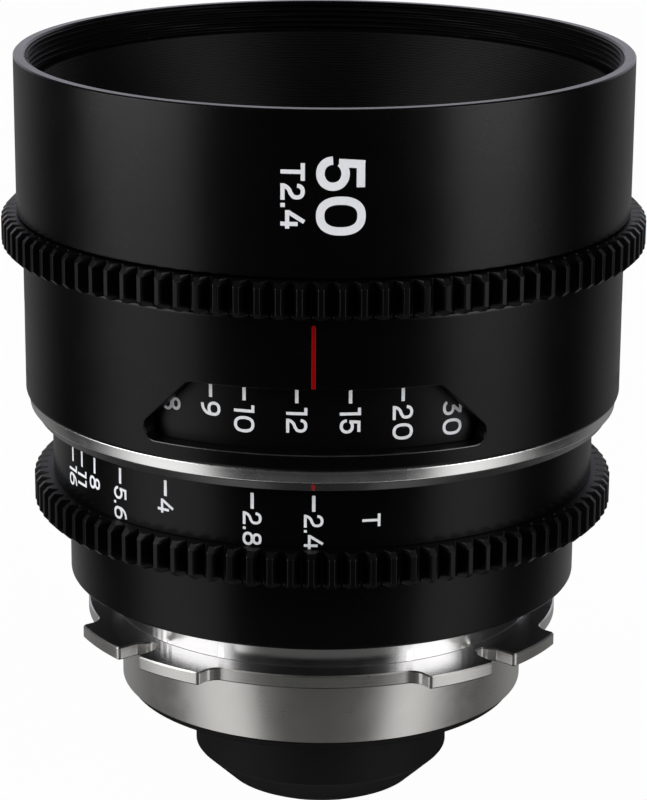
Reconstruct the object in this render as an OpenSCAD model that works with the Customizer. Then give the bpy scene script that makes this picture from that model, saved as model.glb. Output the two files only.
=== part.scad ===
// Cinema prime lens, standing on its rear end with the front up.
// The origin is the centre of the mount's seat, the rear face of the flange with the four tabs.
// +Z runs along the optical axis to the front, and azimuth 0 is the side of the index line, -Y.

/* [Front bell] */
// Nominal diameter of the filter thread, which sets the width of the lens
filter_d = 77; // [72:0.5:86]
// Wall of the bell round the filter thread
bell_rim = 1.5; // [1.2:0.1:2]
// Length of the front bell
bell_len = 20.4; // [19:0.1:28]
// Depth of the filter thread
filter_len = 4; // [3:0.1:6]
// Thickness of the bell's inner floor
bell_floor = 2.6; // [2:0.1:3.5]
// Thickness of the ring that locks the bell to the guide tube
bell_lock_t = 2; // [1.5:0.1:2.5]
// Width of the chamfer on the bell's rim
bell_chamfer = 0.5; // [0.2:0.1:0.8]
// Height of one step of the stray-light baffle
baffle_step = 0.9; // [0.6:0.1:1.5]

/* [Focus section] */
// Step from the bell's side in to the main barrel's side
barrel_step = 0.75; // [0.3:0.05:1.2]
// Length of the main barrel
barrel_len = 19.4; // [18.5:0.1:26]
// Wall of the main barrel
barrel_wall = 1.9; // [1.5:0.1:2.2]
// Height of the scale window
window_h = 8.2; // [6:0.1:9]
// Wall left between the top of the window and the top of the barrel
window_top_wall = 9.05; // [8:0.05:10]
// Width of the window along its top edge, in degrees
window_top_angle = 45.8; // [30:0.1:55]
// Width of the window at its widest, in degrees
window_angle = 65; // [56:0.1:75]
// Radius of the window's lower corners
window_corner = 1.5; // [0.5:0.1:2]
// Wall of the scale drum
drum_wall = 1.3; // [1:0.1:1.6]
// Wall of the helical sleeve
sleeve_wall = 2.1; // [1.8:0.1:2.5]
// Wall of the guide tube
guide_wall = 1.9; // [1.5:0.1:2.3]
// Wall of the sliding carrier
carrier_wall = 2.6; // [2.5:0.1:3.2]
// Rise of the helix in one turn
helix_lead = 5.52; // [4.5:0.01:6]
// Turn of the focus ring from the photographed distance to infinity, in degrees
focus_far = 50; // [30:1:60]
// Turn of the focus ring from the photographed distance to the near stop, in degrees
focus_near = 250; // [200:1:260]

/* [Gears] */
// Module of both gear rings
gear_module = 0.8; // [0.79:0.005:0.82]
// How far the tips of the focus gear's teeth stand out from the bell
focus_gear_stand = 2; // [1.8:0.1:3]
// Face width of the focus gear
focus_gear_w = 4.5; // [4:0.1:6]
// How far the tips of the iris gear's teeth stand out from the iris scale
iris_gear_stand = 2.55; // [2.2:0.05:3.2]
// Face width of the iris gear
iris_gear_w = 4.6; // [4:0.1:6]
// Chamfer at the ends of the teeth
tooth_chamfer = 0.7; // [0.3:0.1:0.9]

/* [Accent and index rings] */
// Length of the bright accent ring
accent_len = 1.6; // [1.2:0.1:3]
// Length of the black index ring below it
index_len = 1.2; // [1:0.1:1.4]
// Wall of the accent ring
accent_wall = 1.35; // [1.3:0.05:1.6]

/* [Iris section] */
// Step from the main barrel's side in to the iris scale
iris_step = 3.4; // [2.8:0.1:4]
// Length of the scale on the iris ring, above its gear
iris_scale_len = 8; // [7.5:0.1:12]
// Turn of the iris ring from fully open to fully closed, in degrees
iris_throw = 66; // [50:1:70]
// Diameter of the open iris
iris_open_d = 20; // [18:0.5:22]
// Diameter of the closed iris
iris_closed_d = 2.6; // [2:0.1:5]
// Width of an iris blade
blade_w = 5.5; // [4.5:0.1:6]
// Thickness of an iris blade
blade_t = 0.12; // [0.08:0.01:0.14]
// Number of iris blades
blade_count = 10; // [8:1:10]
// Distance from a blade's pivot to its drive pin
blade_tail = 8.5; // [7.5:0.1:9]

/* [Rear barrel] */
// Step from the iris scale in to the rear sleeve's side
rear_step = 2.1; // [1.6:0.1:2.6]
// Length of the rear sleeve
rear_len = 9.4; // [9:0.1:12]
// Wall of the rear sleeve
rear_wall = 1.9; // [1.5:0.1:2.5]

/* [Mount] */
// Diameter of the mount's spigot
spigot_d = 54; // [53.5:0.05:54.5]
// Length of the spigot below the seat
spigot_len = 9.5; // [8:0.1:12]
// Wall of the spigot
spigot_wall = 2.4; // [2:0.1:3]
// Diameter across the tabs
tab_d = 68.5; // [67:0.1:70]
// Diameter of the flange between the tabs
flange_d = 63; // [61:0.1:64]
// Thickness of the flange and its tabs
flange_t = 1.75; // [1.5:0.05:2.5]
// Width of a tab, in degrees
tab_angle = 39.4; // [34:0.1:44]
// Width of the index notch in a tab
notch_w = 3.2; // [2.5:0.1:3.5]
// Radius at the bottom of the index notch
notch_bottom_r = 29.8; // [29:0.1:31]
// Diameter of the neck above the flange
neck_d = 56.8; // [56:0.1:58]
// Length of the neck above the flange
neck_len = 4.35; // [3.8:0.05:6]
// Thickness of the shim that sets the seat's distance
shim_t = 0.1; // [0.05:0.05:0.3]

/* [Rear cell] */
// Outer diameter of the rear cell's tail
tail_d = 34.2; // [33.5:0.1:35]
// Length of the tail below the seat
tail_len = 19.5; // [19:0.1:22]
// Length of the conical nose ring
nose_len = 4.7; // [4:0.1:6]
// Diameter of the nose ring's tip
nose_tip_d = 24; // [22.5:0.1:28]
// Diameter of the opening in the nose ring
nose_hole_d = 19; // [16:0.1:20]

/* [Glass] */
// Wall of the front cell round the front element
cell_wall = 3.94; // [3:0.02:4.5]
// Step in half diameter from the front element to the second
glass_step_2 = 3; // [2.6:0.1:3.5]
// Step in half diameter from the second element to the third and fourth
glass_step_3 = 4; // [3:0.1:4.5]
// Front element: thickness, front curve, rear curve (hollow curves are negative)
form_1 = [3, 70, -45]; // [-200:0.1:200]
// Second element
form_2 = [9, 50, 120]; // [-200:0.1:200]
// Third element, cemented to the fourth
form_3 = [6.1, 60, 70]; // [-200:0.1:200]
// Fourth element
form_4 = [1.1, -70, -90]; // [-200:0.1:200]
// Fifth element, cemented to the sixth: half diameter, then as above
lens_5 = [13, 1.6, -25, -50]; // [-200:0.1:200]
// Sixth element
lens_6 = [13, 6.4, 50, 40]; // [-200:0.1:200]
// Seventh element
lens_7 = [14, 5.5, 60, 80]; // [-200:0.1:200]
// Rear element
lens_8 = [14, 4, 45, -60]; // [-200:0.1:200]
// Air behind the front element
air_1 = 2.3; // [2:0.1:3]
// Air behind the second element
air_2 = 1.2; // [1:0.1:2]
// Air behind the sixth element
air_6 = 1.5; // [1:0.1:2.5]
// Height of the front element's vertex above the top of the front cell
vertex_1 = 0.8; // [0.4:0.1:1.2]
// Depth of the fifth element's vertex below the iris housing
vertex_5 = 4.5; // [4.2:0.1:5]
// Flat rim of a hollow lens face
lens_rim = 0.8; // [0.5:0.1:1.2]

/* [Fits] */
// Radial clearance of a running fit
run_fit = 0.05; // [0.03:0.01:0.08]
// Radial clearance of a seat between fixed pieces
seat_fit = 0.02; // [0.01:0.01:0.04]
// Gap between the ends of neighbouring rings
ring_gap = 0.15; // [0.1:0.05:0.3]
// Gap round pieces that turn freely past a wall
sweep_gap = 0.35; // [0.2:0.05:0.5]
// Thickness of a thrust washer
washer_t = 0.4; // [0.2:0.1:0.6]

/* [Fasteners] */
// Thread diameter of the screws
screw_d = 1.6; // [1.4:0.1:2]
// Head diameter of the screws
screw_head_d = 2.4; // [2.2:0.1:2.5]
// Head height of the screws
screw_head_h = 0.9; // [0.7:0.1:1]
// Depth of a driver slot or socket
screw_slot = 0.4; // [0.2:0.1:0.5]
// Diameter of the screw that drives the iris
drive_screw_d = 1.8; // [1.4:0.1:2]

/* [Hidden] */
$fn = 128;
// How far a cut runs past the face that it opens
cut = 1;
// Overlap where two shapes of one piece join
weld = 0.2;

// Heights of the outside, from the seat to the front rim
z_neck = flange_t + neck_len;
z_body = z_neck + shim_t;
z_rear_top = z_neck + rear_len;
z_iris = z_rear_top + ring_gap;
z_iris_gear_top = z_iris + iris_gear_w;
z_iris_top = z_iris_gear_top + iris_scale_len;
z_index = z_iris_top + ring_gap;
z_accent = z_index + index_len;
z_barrel = z_accent + accent_len;
z_barrel_top = z_barrel + barrel_len;
z_gear = z_barrel_top + ring_gap;
z_gear_top = z_gear + focus_gear_w;
z_bell = z_gear_top + ring_gap;
z_rim = z_bell + bell_len;
z_tail = -tail_len;
z_nose = z_tail - nose_len;

// Radii of the focus section, from the filter thread to the barrel and inwards
filter_r = filter_d / 2;
bell_r = filter_r + bell_rim;
barrel_r = bell_r - barrel_step;
barrel_in = barrel_r - barrel_wall;
drum_r = barrel_in - sweep_gap;
drum_in = drum_r - drum_wall;
sleeve_r = drum_in - seat_fit;
sleeve_in = sleeve_r - sleeve_wall;
guide_r = sleeve_in - run_fit;
guide_in = guide_r - guide_wall;
carrier_r = guide_in - run_fit;
carrier_in = carrier_r - carrier_wall;
skirt_r = barrel_r - accent_wall;
skirt_wall = 1.4;
skirt_in = skirt_r - skirt_wall;
body_flange_r = skirt_in - seat_fit;

// Radii of the iris section and the rear, from the rear sleeve inwards
iris_r = barrel_r - iris_step;
rear_r = iris_r - rear_step;
rear_in = rear_r - rear_wall;
body_rear_r = rear_in - seat_fit;
iris_shoulder = 0.9;
body_r = rear_r - iris_shoulder;
iris_in = body_r + run_fit;
body_wall = 2.2;
body_in = body_r - body_wall;
housing_r = body_in - seat_fit;
housing_wall = 2;
housing_in = housing_r - housing_wall;
cam_r = housing_in - run_fit;

// Pitch geometry of the gears: the tooth is a rack tooth with sides at 20 degrees
tooth_angle = 20;
tooth_top = gear_module;
tooth_foot = 1.25 * gear_module;
tooth_pitch = PI * gear_module;
tip_share = 0.25 - tooth_top * tan(tooth_angle) / tooth_pitch;
root_share = 0.25 + tooth_foot * tan(tooth_angle) / tooth_pitch;
focus_phase = 1.29;
iris_phase = -0.3;
function teeth_for(tip) = round(2 * (tip - tooth_top) / gear_module);
focus_teeth = teeth_for(bell_r + focus_gear_stand);
iris_teeth = teeth_for(iris_r + iris_gear_stand);
tooth_room = 0.05;
gear_rim = 1.6;
function pitch_r(teeth) = gear_module * teeth / 2;
function tip_r(teeth) = pitch_r(teeth) + tooth_top;
function root_r(teeth) = pitch_r(teeth) - tooth_foot;

// Screws through the mount's inner lip into the rear body
lip_t = 2.6;
plate_t = 3;
plate_hole_r = 19.7;
z_plate_top = z_body + plate_t;
mount_screw_count = 6;
cell_screw_count = 3;
spigot_in = spigot_d / 2 - spigot_wall;
screw_circle = (plate_hole_r + spigot_in) / 2;
screw_bite = 2.4;
screw_side_fit = 0.05;
screw_tip_gap = 0.1;
screw_wall_gap = 0.3;
grub_bite = 0.5;
grub_sink = 0.3;
tab_az = [45:90:315];

// Iris unit, seated on a shoulder of the rear body
housing_rise = 0.7;
z_housing = z_iris_gear_top + housing_rise;
housing_base = 1.6;
iris_play = 0.1;
blade_gap = 0.04;
blade_pitch = blade_t + blade_gap;
z_blades = z_housing + housing_base + iris_play;
z_cam = z_blades + blade_count * blade_pitch + iris_play;
cam_t = 2.4;
z_cover = z_cam + cam_t + iris_play;
housing_hole_margin = 0.5;
housing_hole_r = iris_open_d / 2 + housing_hole_margin;
blade_margin = 0.15;
blade_in = iris_open_d / 2 + blade_margin;
blade_out = blade_in + blade_w;
lobe_r = 1.4;
tail_r = 1;
lobe_gap = 0.3;
pivot_r = blade_out + lobe_gap + lobe_r;
pin_r = 0.5;
pin_fit = 0.05;
cam_slot_fit = 0.1;
pivot_depth = 1.1;
pin_end_gap = 0.3;
blade_span = 115;
blade_swing = 2 * asin((iris_open_d - iris_closed_d) / 4 / pivot_r);
cam_hole_r = pivot_r;
drive_az = 180;
drive_margin = 3;
drive_slot_room = 0.5;
drive_slot_h = drive_screw_d + drive_slot_room;
drive_bite = 2.4;
drive_sink = 0.2;
z_drive = z_cam + cam_t / 2;

// Guide tube, thrust washers and the turning focus parts
shoulder_t = 0.5;
z_guide = z_index + shoulder_t;
guide_lip_t = 1.4;
guide_lip_gap = 5;
flange_rise = 0.25;
z_flange_top = z_barrel + flange_rise;
z_washer = z_flange_top + run_fit;
z_sleeve = z_washer + washer_t + run_fit;
sleeve_drop = 0.3;
z_sleeve_top = z_gear_top - sleeve_drop;
drum_rise = 0.5;
z_drum = z_flange_top + drum_rise;
z_drum_top = z_gear - seat_fit;
drum_grub_sink = 0.05;
gear_grub_sink = 0.4;
z_top_washer = z_sleeve_top + run_fit;
z_floor = z_top_washer + washer_t + run_fit;
z_floor_top = z_floor + bell_floor;
z_guide_top = z_floor_top + bell_lock_t;
z_window_top = z_barrel_top - window_top_wall;
z_window = z_window_top - window_h;

// Sliding focus group, with its three followers on one helix
carrier_room = 1.4;
z_carrier = z_guide + guide_lip_t + helix_lead * focus_far / 360 + carrier_room;
cell_flange_t = 2;
z_cell_top = z_floor;
z_carrier_top = z_cell_top - cell_flange_t;
follower_az = 60;
follower_step = 120;
follower_r = 0.8;
follower_sink = 0.2;
roller_wall = 0.6;
roller_side_gap = 0.1;
roller_r = follower_r + roller_wall;
groove_room = 0.3;
groove_w = 2 * follower_r + groove_room;
groove_depth = 1.3;
groove_clear = 0.3;
groove_r = sleeve_in + groove_depth;
slot_fit = 0.05;
z_follower = (z_sleeve + z_sleeve_top) / 2 - helix_lead * (focus_near - focus_far) / 720;
groove_step = 9;
cell_r = carrier_in - seat_fit;
cell_flange_gap = 0.3;
cell_flange_r = carrier_r - cell_flange_gap;
cell_screw_edge = 0.15;
cell_screw_circle = cell_flange_r - screw_head_d / 2 - cell_screw_edge;

// Lens surfaces: half diameter, thickness and the two curves, hollow where negative
function sag(curve, r) = abs(curve) - sqrt(curve * curve - r * r);
function rim_r(lens) = lens[0] - lens_rim;
function front_z(lens, z, r) = z - sign(lens[2]) * sag(lens[2], r);
function back_z(lens, z, r) = z - lens[1] + sign(lens[3]) * sag(lens[3], r);
glass_r_1 = cell_r - seat_fit - cell_wall;
glass_r_2 = glass_r_1 - glass_step_2;
glass_r_3 = glass_r_2 - glass_step_3;
lens_1 = concat(glass_r_1, form_1);
lens_2 = concat(glass_r_2, form_2);
lens_3 = concat(glass_r_3, form_3);
lens_4 = concat(glass_r_3, form_4);
cement = 0.02;
z_1 = z_cell_top + vertex_1;
z_2 = z_1 - lens_1[1] - air_1;
z_3 = z_2 - lens_2[1] - air_2;
z_4 = z_3 - lens_3[1] - cement;
z_5 = z_housing - vertex_5;
z_6 = z_5 - lens_5[1] - cement;
z_7 = z_6 - lens_6[1] - air_6;
rear_vertex = 5.5;
z_8 = z_tail + rear_vertex;
seat_w = 1.5;
rear_seat_w = 0.6;
rear_bore = lens_6[0] - rear_seat_w;
z_seat_1 = back_z(lens_1, z_1, rim_r(lens_1));
z_seat_2 = back_z(lens_2, z_2, lens_2[0] - seat_w);
z_seat_3 = front_z(lens_3, z_3, lens_3[0] - seat_w);
z_end_4 = back_z(lens_4, z_4, rim_r(lens_4));
z_seat_6 = back_z(lens_6, z_6, rear_bore);
z_seat_7 = front_z(lens_7, z_7, rear_bore);
z_end_5 = front_z(lens_5, z_5, rim_r(lens_5));
z_end_8 = back_z(lens_8, z_8, rim_r(lens_8));
retainer_t = 1.2;
z_cell = z_end_4 - retainer_t;
rear_retainer_t = 1;
z_rear_cell_top = z_end_5 + rear_retainer_t;
cell_neck_wall = 3;
cell_neck_r = lens_3[0] + cell_neck_wall;
guide_lip_in = cell_neck_r + guide_lip_gap;
cell_shoulder = 2;
z_cell_step = z_seat_2 - cell_shoulder;
vertex_gap = 0.3;
retainer_lip = 1;
cell_flange_plate = 2;
rear_cell_r = plate_hole_r - seat_fit;
rear_flange_edge = 0.5;
rear_flange_r = screw_circle + screw_head_d / 2 + rear_flange_edge;

// Stray-light baffle, stepped inwards from the filter thread to the front cell
z_baffle_top = z_rim - filter_len;
baffle_gap = 0.3;
z_baffle = z_guide_top + baffle_gap;
baffle_ledge = 1.5;
baffle_top_r = filter_r - baffle_ledge;
baffle_wall = 1;
baffle_foot_lap = 0.8;
baffle_foot_r = guide_in - baffle_foot_lap;
baffle_steps = floor((z_baffle_top - z_baffle) / baffle_step);
baffle_rise = (z_baffle_top - z_baffle) / baffle_steps;
baffle_run = (baffle_top_r - baffle_foot_r) / baffle_steps;
thread_step = 0.9;
bell_in = filter_r - thread_step;
bell_lock_w = 3;

blade_names = [for (i = [1:blade_count]) str("iris_blade_", floor(i / 10), i % 10)];

// Turns its children to an azimuth counted from the index line
module at_azimuth(az) {
    rotate([0, 0, az - 90]) children();
}

// Plain ring between two radii and two heights
module ring(r_in, r_out, z0, z1) {
    translate([0, 0, z0]) difference() {
        cylinder(r = r_out, h = z1 - z0);
        translate([0, 0, -cut]) cylinder(r = r_in, h = z1 - z0 + 2 * cut);
    }
}

// Disc to cut away with, between two heights
module bore(r, z0, z1) {
    translate([0, 0, z0]) cylinder(r = r, h = z1 - z0);
}

// Round rod along a radius, from r0 to r1, at a height and an azimuth
module radial_rod(r, r0, r1, z, az) {
    at_azimuth(az) translate([r0, 0, z]) rotate([0, 90, 0]) cylinder(r = r, h = r1 - r0, $fn = 48);
}

// Part of a ring between two azimuths, to cut slots with
module arc_block(r0, r1, z0, z1, az0, az1) {
    at_azimuth(az0) rotate_extrude(angle = az1 - az0) translate([r0, z0]) square([r1 - r0, z1 - z0]);
}

// Screw along a radius with its head outwards, its driver slot cut in the head
module radial_screw(r_tip, r_seat, z, az) {
    difference() {
        union() {
            radial_rod(screw_d / 2, r_tip, r_seat, z, az);
            radial_rod(screw_head_d / 2, r_seat, r_seat + screw_head_h, z, az);
        }
        at_azimuth(az) translate([r_seat + screw_head_h - screw_slot, -screw_head_d, z - screw_slot / 2])
            cube([screw_head_h, 2 * screw_head_d, screw_slot]);
    }
}

// Room for a screw along a radius, right through to the outside
module radial_screw_room(r_tip, r_seat, r_out, z, az) {
    radial_rod(screw_d / 2 + screw_side_fit, r_tip, r_seat + cut, z, az);
    radial_rod(screw_head_d / 2 + screw_side_fit, r_seat, r_out, z, az);
}

// Headless screw along a radius, with a socket in its outer end
module grub_screw(r_tip, r_end, z, az) {
    difference() {
        radial_rod(screw_d / 2, r_tip, r_end, z, az);
        radial_rod(screw_d / 4, r_end - screw_slot, r_end + cut, z, az);
    }
}

// Screw along the axis, with its seat at z and its thread to the front when way is 1
module axial_screw(r, az, z, bite, way) {
    at_azimuth(az) translate([r, 0, z]) mirror([0, 0, way > 0 ? 0 : 1]) difference() {
        union() {
            cylinder(r = screw_d / 2, h = bite, $fn = 48);
            translate([0, 0, -screw_head_h]) cylinder(r = screw_head_d / 2, h = screw_head_h, $fn = 48);
        }
        translate([0, 0, -screw_head_h - cut])
            cylinder(r = screw_d / 2, h = screw_slot + cut, $fn = 6);
    }
}

// Room for the thread of an axial screw
module axial_screw_room(r, az, z0, z1) {
    at_azimuth(az) translate([r, 0, z0])
        cylinder(r = screw_d / 2 + screw_side_fit, h = z1 - z0, $fn = 48);
}

// Outline of a gear's teeth, four points to a tooth
function gear_points(teeth, phase) = [
    for (i = [0:teeth - 1])
        for (corner = [[-root_share, 0], [-tip_share, 1], [tip_share, 1], [root_share, 0]])
            let (
                az = phase + (i + corner[0]) * 360 / teeth,
                r = corner[1] > 0 ? tip_r(teeth) : root_r(teeth)
            )
            [r * sin(az), -r * cos(az)]
];

// Gear ring with chamfered tooth ends
module gear_ring(teeth, phase, r_in, z0, w) {
    r_tip = tip_r(teeth) + tooth_room;
    translate([0, 0, z0]) difference() {
        intersection() {
            linear_extrude(height = w) polygon(gear_points(teeth, phase));
            rotate_extrude() polygon([
                [0, 0], [r_tip - tooth_chamfer, 0], [r_tip, tooth_chamfer],
                [r_tip, w - tooth_chamfer], [r_tip - tooth_chamfer, w], [0, w]]);
        }
        translate([0, 0, -cut]) cylinder(r = r_in, h = w + 2 * cut);
    }
}

// Glass element with its front vertex at z, its faces parts of true spheres
module glass(lens, z) {
    r = lens[0];
    z_back = z - lens[1];
    z_low = lens[3] > 0 ? z_back : back_z(lens, z, rim_r(lens));
    z_high = lens[2] > 0 ? z : front_z(lens, z, rim_r(lens));
    difference() {
        intersection() {
            translate([0, 0, z_low]) cylinder(r = r, h = z_high - z_low);
            if (lens[2] > 0) translate([0, 0, z - lens[2]]) sphere(r = lens[2]);
            if (lens[3] > 0) translate([0, 0, z_back + lens[3]]) sphere(r = lens[3]);
        }
        if (lens[2] < 0) translate([0, 0, z - lens[2]]) sphere(r = -lens[2]);
        if (lens[3] < 0) translate([0, 0, z_back + lens[3]]) sphere(r = -lens[3]);
    }
}

// Retaining ring with two slots for a spanner
module retaining_ring(r_in, r_out, z0, z1, slot_z) {
    slot_w = 1.2;
    difference() {
        ring(r_in, r_out, z0, z1);
        for (az = [0, 180]) at_azimuth(az)
            translate([r_in - cut, -slot_w / 2, slot_z - retainer_t / 4])
                cube([r_out - r_in + 2 * cut, slot_w, retainer_t / 2]);
    }
}

// Steel mount: spigot, flange with four notched tabs, neck, and the inner lip for its screws
module bayonet_mount() {
    color("silver") difference() {
        union() {
            bore(spigot_d / 2, -spigot_len, flange_t);
            bore(flange_d / 2, 0, flange_t);
            bore(neck_d / 2, 0, z_neck);
            for (az = tab_az) intersection() {
                bore(tab_d / 2, 0, flange_t);
                at_azimuth(az) linear_extrude(height = flange_t) polygon([
                    [0, 0], tab_d * [cos(tab_angle / 2), -sin(tab_angle / 2)],
                    tab_d * [1, 0], tab_d * [cos(tab_angle / 2), sin(tab_angle / 2)]]);
            }
        }
        bore(spigot_in, -spigot_len - cut, z_neck - lip_t);
        bore(plate_hole_r, 0, z_neck + cut);
        for (az = tab_az) at_azimuth(az) {
            translate([notch_bottom_r + notch_w / 2, 0, -cut])
                cylinder(r = notch_w / 2, h = flange_t + 2 * cut, $fn = 48);
            translate([notch_bottom_r + notch_w / 2, -notch_w / 2, -cut])
                cube([tab_d, notch_w, flange_t + 2 * cut]);
        }
        for (i = [1:mount_screw_count])
            axial_screw_room(screw_circle, i * 360 / mount_screw_count, 0, z_neck + cut);
    }
}

// Thin ring that sets the distance from the seat to the rear body
module mount_shim() {
    color("goldenrod") difference() {
        ring(plate_hole_r, neck_d / 2, z_neck, z_body);
        for (i = [1:mount_screw_count])
            axial_screw_room(screw_circle, i * 360 / mount_screw_count, z_neck - cut, z_body + cut);
    }
}

// Six screws that hold the mount to the rear body
module mount_screws() {
    color("gray") for (i = [1:mount_screw_count])
        axial_screw(screw_circle, i * 360 / mount_screw_count, z_neck - lip_t,
            lip_t + shim_t + screw_bite, 1);
}

// Fixed body that carries the mount, the iris unit, the rings and the guide tube
module rear_body() {
    color("dimgray") difference() {
        union() {
            bore(body_rear_r, z_body, z_rear_top);
            bore(body_r, z_rear_top, z_index);
            bore(body_flange_r, z_index, z_flange_top);
        }
        bore(plate_hole_r, z_body - cut, z_plate_top + cut);
        bore(housing_in, z_plate_top, z_housing);
        bore(body_in, z_housing, z_flange_top + cut);
        bore(guide_r + seat_fit, z_guide, z_flange_top + cut);
        arc_block(body_in - cut, body_r + cut, z_drive - drive_slot_h / 2, z_drive + drive_slot_h / 2,
            drive_az - drive_margin, drive_az + iris_throw + drive_margin);
        for (i = [1:mount_screw_count])
            axial_screw_room(screw_circle, i * 360 / mount_screw_count, z_body - cut, z_body + screw_bite);
        for (i = [1:cell_screw_count])
            axial_screw_room(screw_circle, cell_screw_az(i), z_plate_top - screw_bite, z_plate_top + cut);
        for (az = sleeve_screw_az) radial_rod(screw_d / 2 + screw_side_fit,
            body_rear_r - grub_bite, body_rear_r + cut, z_sleeve_screw, az);
        for (az = guide_screw_az) radial_screw_room(guide_r, body_flange_r - screw_head_h,
            body_flange_r + cut, z_flange_screw, az);
        for (az = barrel_screw_az) radial_rod(screw_d / 2 + screw_side_fit,
            body_flange_r - screw_bite, body_flange_r + cut, z_flange_screw, az);
    }
}

// Places of the screws on the rear body
sleeve_screw_az = [100, 180, 260];
guide_screw_az = [30, 150, 270];
barrel_screw_az = [90, 210, 330];
z_sleeve_screw = (z_body + z_rear_top) / 2;
z_flange_screw = (z_guide + z_flange_top) / 2;
function cell_screw_az(i) = (i + 0.25) * 360 / cell_screw_count;

// Black sleeve round the rear body
module rear_sleeve() {
    color("black") difference() {
        ring(rear_in, rear_r, z_neck, z_rear_top);
        for (az = sleeve_screw_az)
            radial_rod(screw_d / 2 + screw_side_fit, rear_in - cut, rear_r + cut, z_sleeve_screw, az);
    }
}

// Three headless screws that hold the rear sleeve
module rear_sleeve_screws() {
    color("gray") for (az = sleeve_screw_az)
        grub_screw(body_rear_r - grub_bite + screw_side_fit, rear_r - grub_sink, z_sleeve_screw, az);
}

// Cup of the iris, with a pivot hole for each blade and a slot for the drive screw
module iris_housing() {
    color("dimgray") difference() {
        bore(housing_r, z_housing, z_guide);
        bore(housing_hole_r, z_housing - cut, z_guide);
        bore(housing_in, z_housing + housing_base, z_guide + cut);
        arc_block(housing_in - cut, housing_r + cut, z_drive - drive_slot_h / 2, z_drive + drive_slot_h / 2,
            drive_az - drive_margin, drive_az + iris_throw + drive_margin);
        for (i = [0:blade_count - 1]) rotate([0, 0, i * 360 / blade_count]) translate([pivot_r, 0, 0])
            bore(pin_r + pin_fit, z_housing + housing_base - pivot_depth - screw_tip_gap, z_guide);
    }
}

// Plate that closes the iris unit over the cam ring
module iris_cover() {
    color("dimgray") ring(housing_hole_r, housing_in - seat_fit, z_cover, z_guide);
}

// Guide tube: straight slots for the followers, and a lip that holds the iris unit down
module guide_tube() {
    travel_low = helix_lead * focus_far / 360;
    travel_high = helix_lead * focus_near / 360;
    slot_r = roller_r + slot_fit;
    color("gray") difference() {
        bore(guide_r, z_guide, z_guide_top);
        bore(guide_lip_in, z_guide - cut, z_guide + guide_lip_t + cut);
        bore(guide_in, z_guide + guide_lip_t, z_guide_top + cut);
        for (k = [0:2]) at_azimuth(follower_az + follower_step * k) {
            z_low = follower_z(k) - travel_low - groove_clear;
            z_high = follower_z(k) + travel_high + groove_clear;
            translate([guide_in - cut, -slot_r, z_low])
                cube([guide_wall + 2 * cut, 2 * slot_r, z_high - z_low]);
            for (z = [z_low, z_high]) translate([guide_in - cut, 0, z]) rotate([0, 90, 0])
                cylinder(r = slot_r, h = guide_wall + 2 * cut, $fn = 48);
        }
        for (az = guide_screw_az)
            radial_rod(screw_d / 2 + screw_side_fit, guide_in - cut, guide_r + cut, z_flange_screw, az);
    }
}

// Height of a follower: each stands a third of the lead below the one before it
function follower_z(k) = z_follower - helix_lead * k / 3 + helix_lead / 3;

// Three screws that hold the guide tube in the rear body
module guide_tube_screws() {
    color("gray") for (az = guide_screw_az)
        radial_screw(guide_in + screw_wall_gap, body_flange_r - screw_head_h, z_flange_screw, az);
}

// Bright turned ring between the main barrel and the index ring
module accent_ring() {
    color("lightgray") ring(skirt_r + seat_fit, barrel_r, z_accent + seat_fit, z_barrel);
}

// Black ring with a polished chamfer that faces the iris scale
index_inset = 0.15;
module index_ring() {
    foot_r = barrel_r - index_inset;
    color("black") difference() {
        translate([0, 0, z_index]) rotate_extrude() polygon([
            [body_flange_r + seat_fit, 0], [foot_r - index_len, 0], [foot_r, index_len],
            [body_flange_r + seat_fit, index_len]]);
        bore(skirt_r + seat_fit, z_skirt - seat_fit, z_accent + cut);
    }
}

// Lower end of the main barrel's skirt, inside the accent and index rings
skirt_gap = 0.3;
z_skirt = z_index + skirt_gap;

// Main barrel with the scale window and the skirt that its screws go through
module main_barrel() {
    color("black") difference() {
        union() {
            ring(barrel_in, barrel_r, z_barrel, z_barrel_top);
            ring(skirt_in, barrel_in + cut / 2, z_barrel, z_flange_top + weld);
            ring(skirt_in, skirt_r, z_skirt, z_barrel + weld);
        }
        rotate([90, 0, 0]) linear_extrude(height = 2 * barrel_r) polygon(window_points());
        for (az = barrel_screw_az)
            radial_screw_room(skirt_in - cut, skirt_r - screw_head_h, skirt_r + cut, z_flange_screw, az);
    }
}

// Outline of the window seen from the front: a trapezoid with two rounded lower corners
function window_points() = let (
        top_x = barrel_r * sin(window_top_angle / 2),
        side_x = barrel_r * sin(window_angle / 2),
        foot = [side_x, z_window],
        slope = unit([top_x, z_window_top] - foot),
        half = angle_between(slope, [-1, 0]) / 2,
        reach = window_corner / tan(half),
        centre = foot + unit(slope + [-1, 0]) * window_corner / sin(half),
        right = [for (s = [0:8]) centre + window_corner *
            spread(unit(foot + [-reach, 0] - centre), unit(foot + slope * reach - centre), s / 8)]
    )
    concat(right, [[top_x, z_window_top], [-top_x, z_window_top]],
        [for (s = [8:-1:0]) [-right[s][0], right[s][1]]]);
function unit(v) = v / norm(v);
function angle_between(a, b) = acos(a * b / norm(a) / norm(b));
function spread(a, b, s) = unit(a * (1 - s) + b * s);

// Three screws that hold the main barrel to the rear body, under the accent ring
module main_barrel_screws() {
    color("gray") for (az = barrel_screw_az)
        radial_screw(body_flange_r - screw_bite + screw_tip_gap, skirt_r - screw_head_h, z_flange_screw, az);
}

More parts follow.
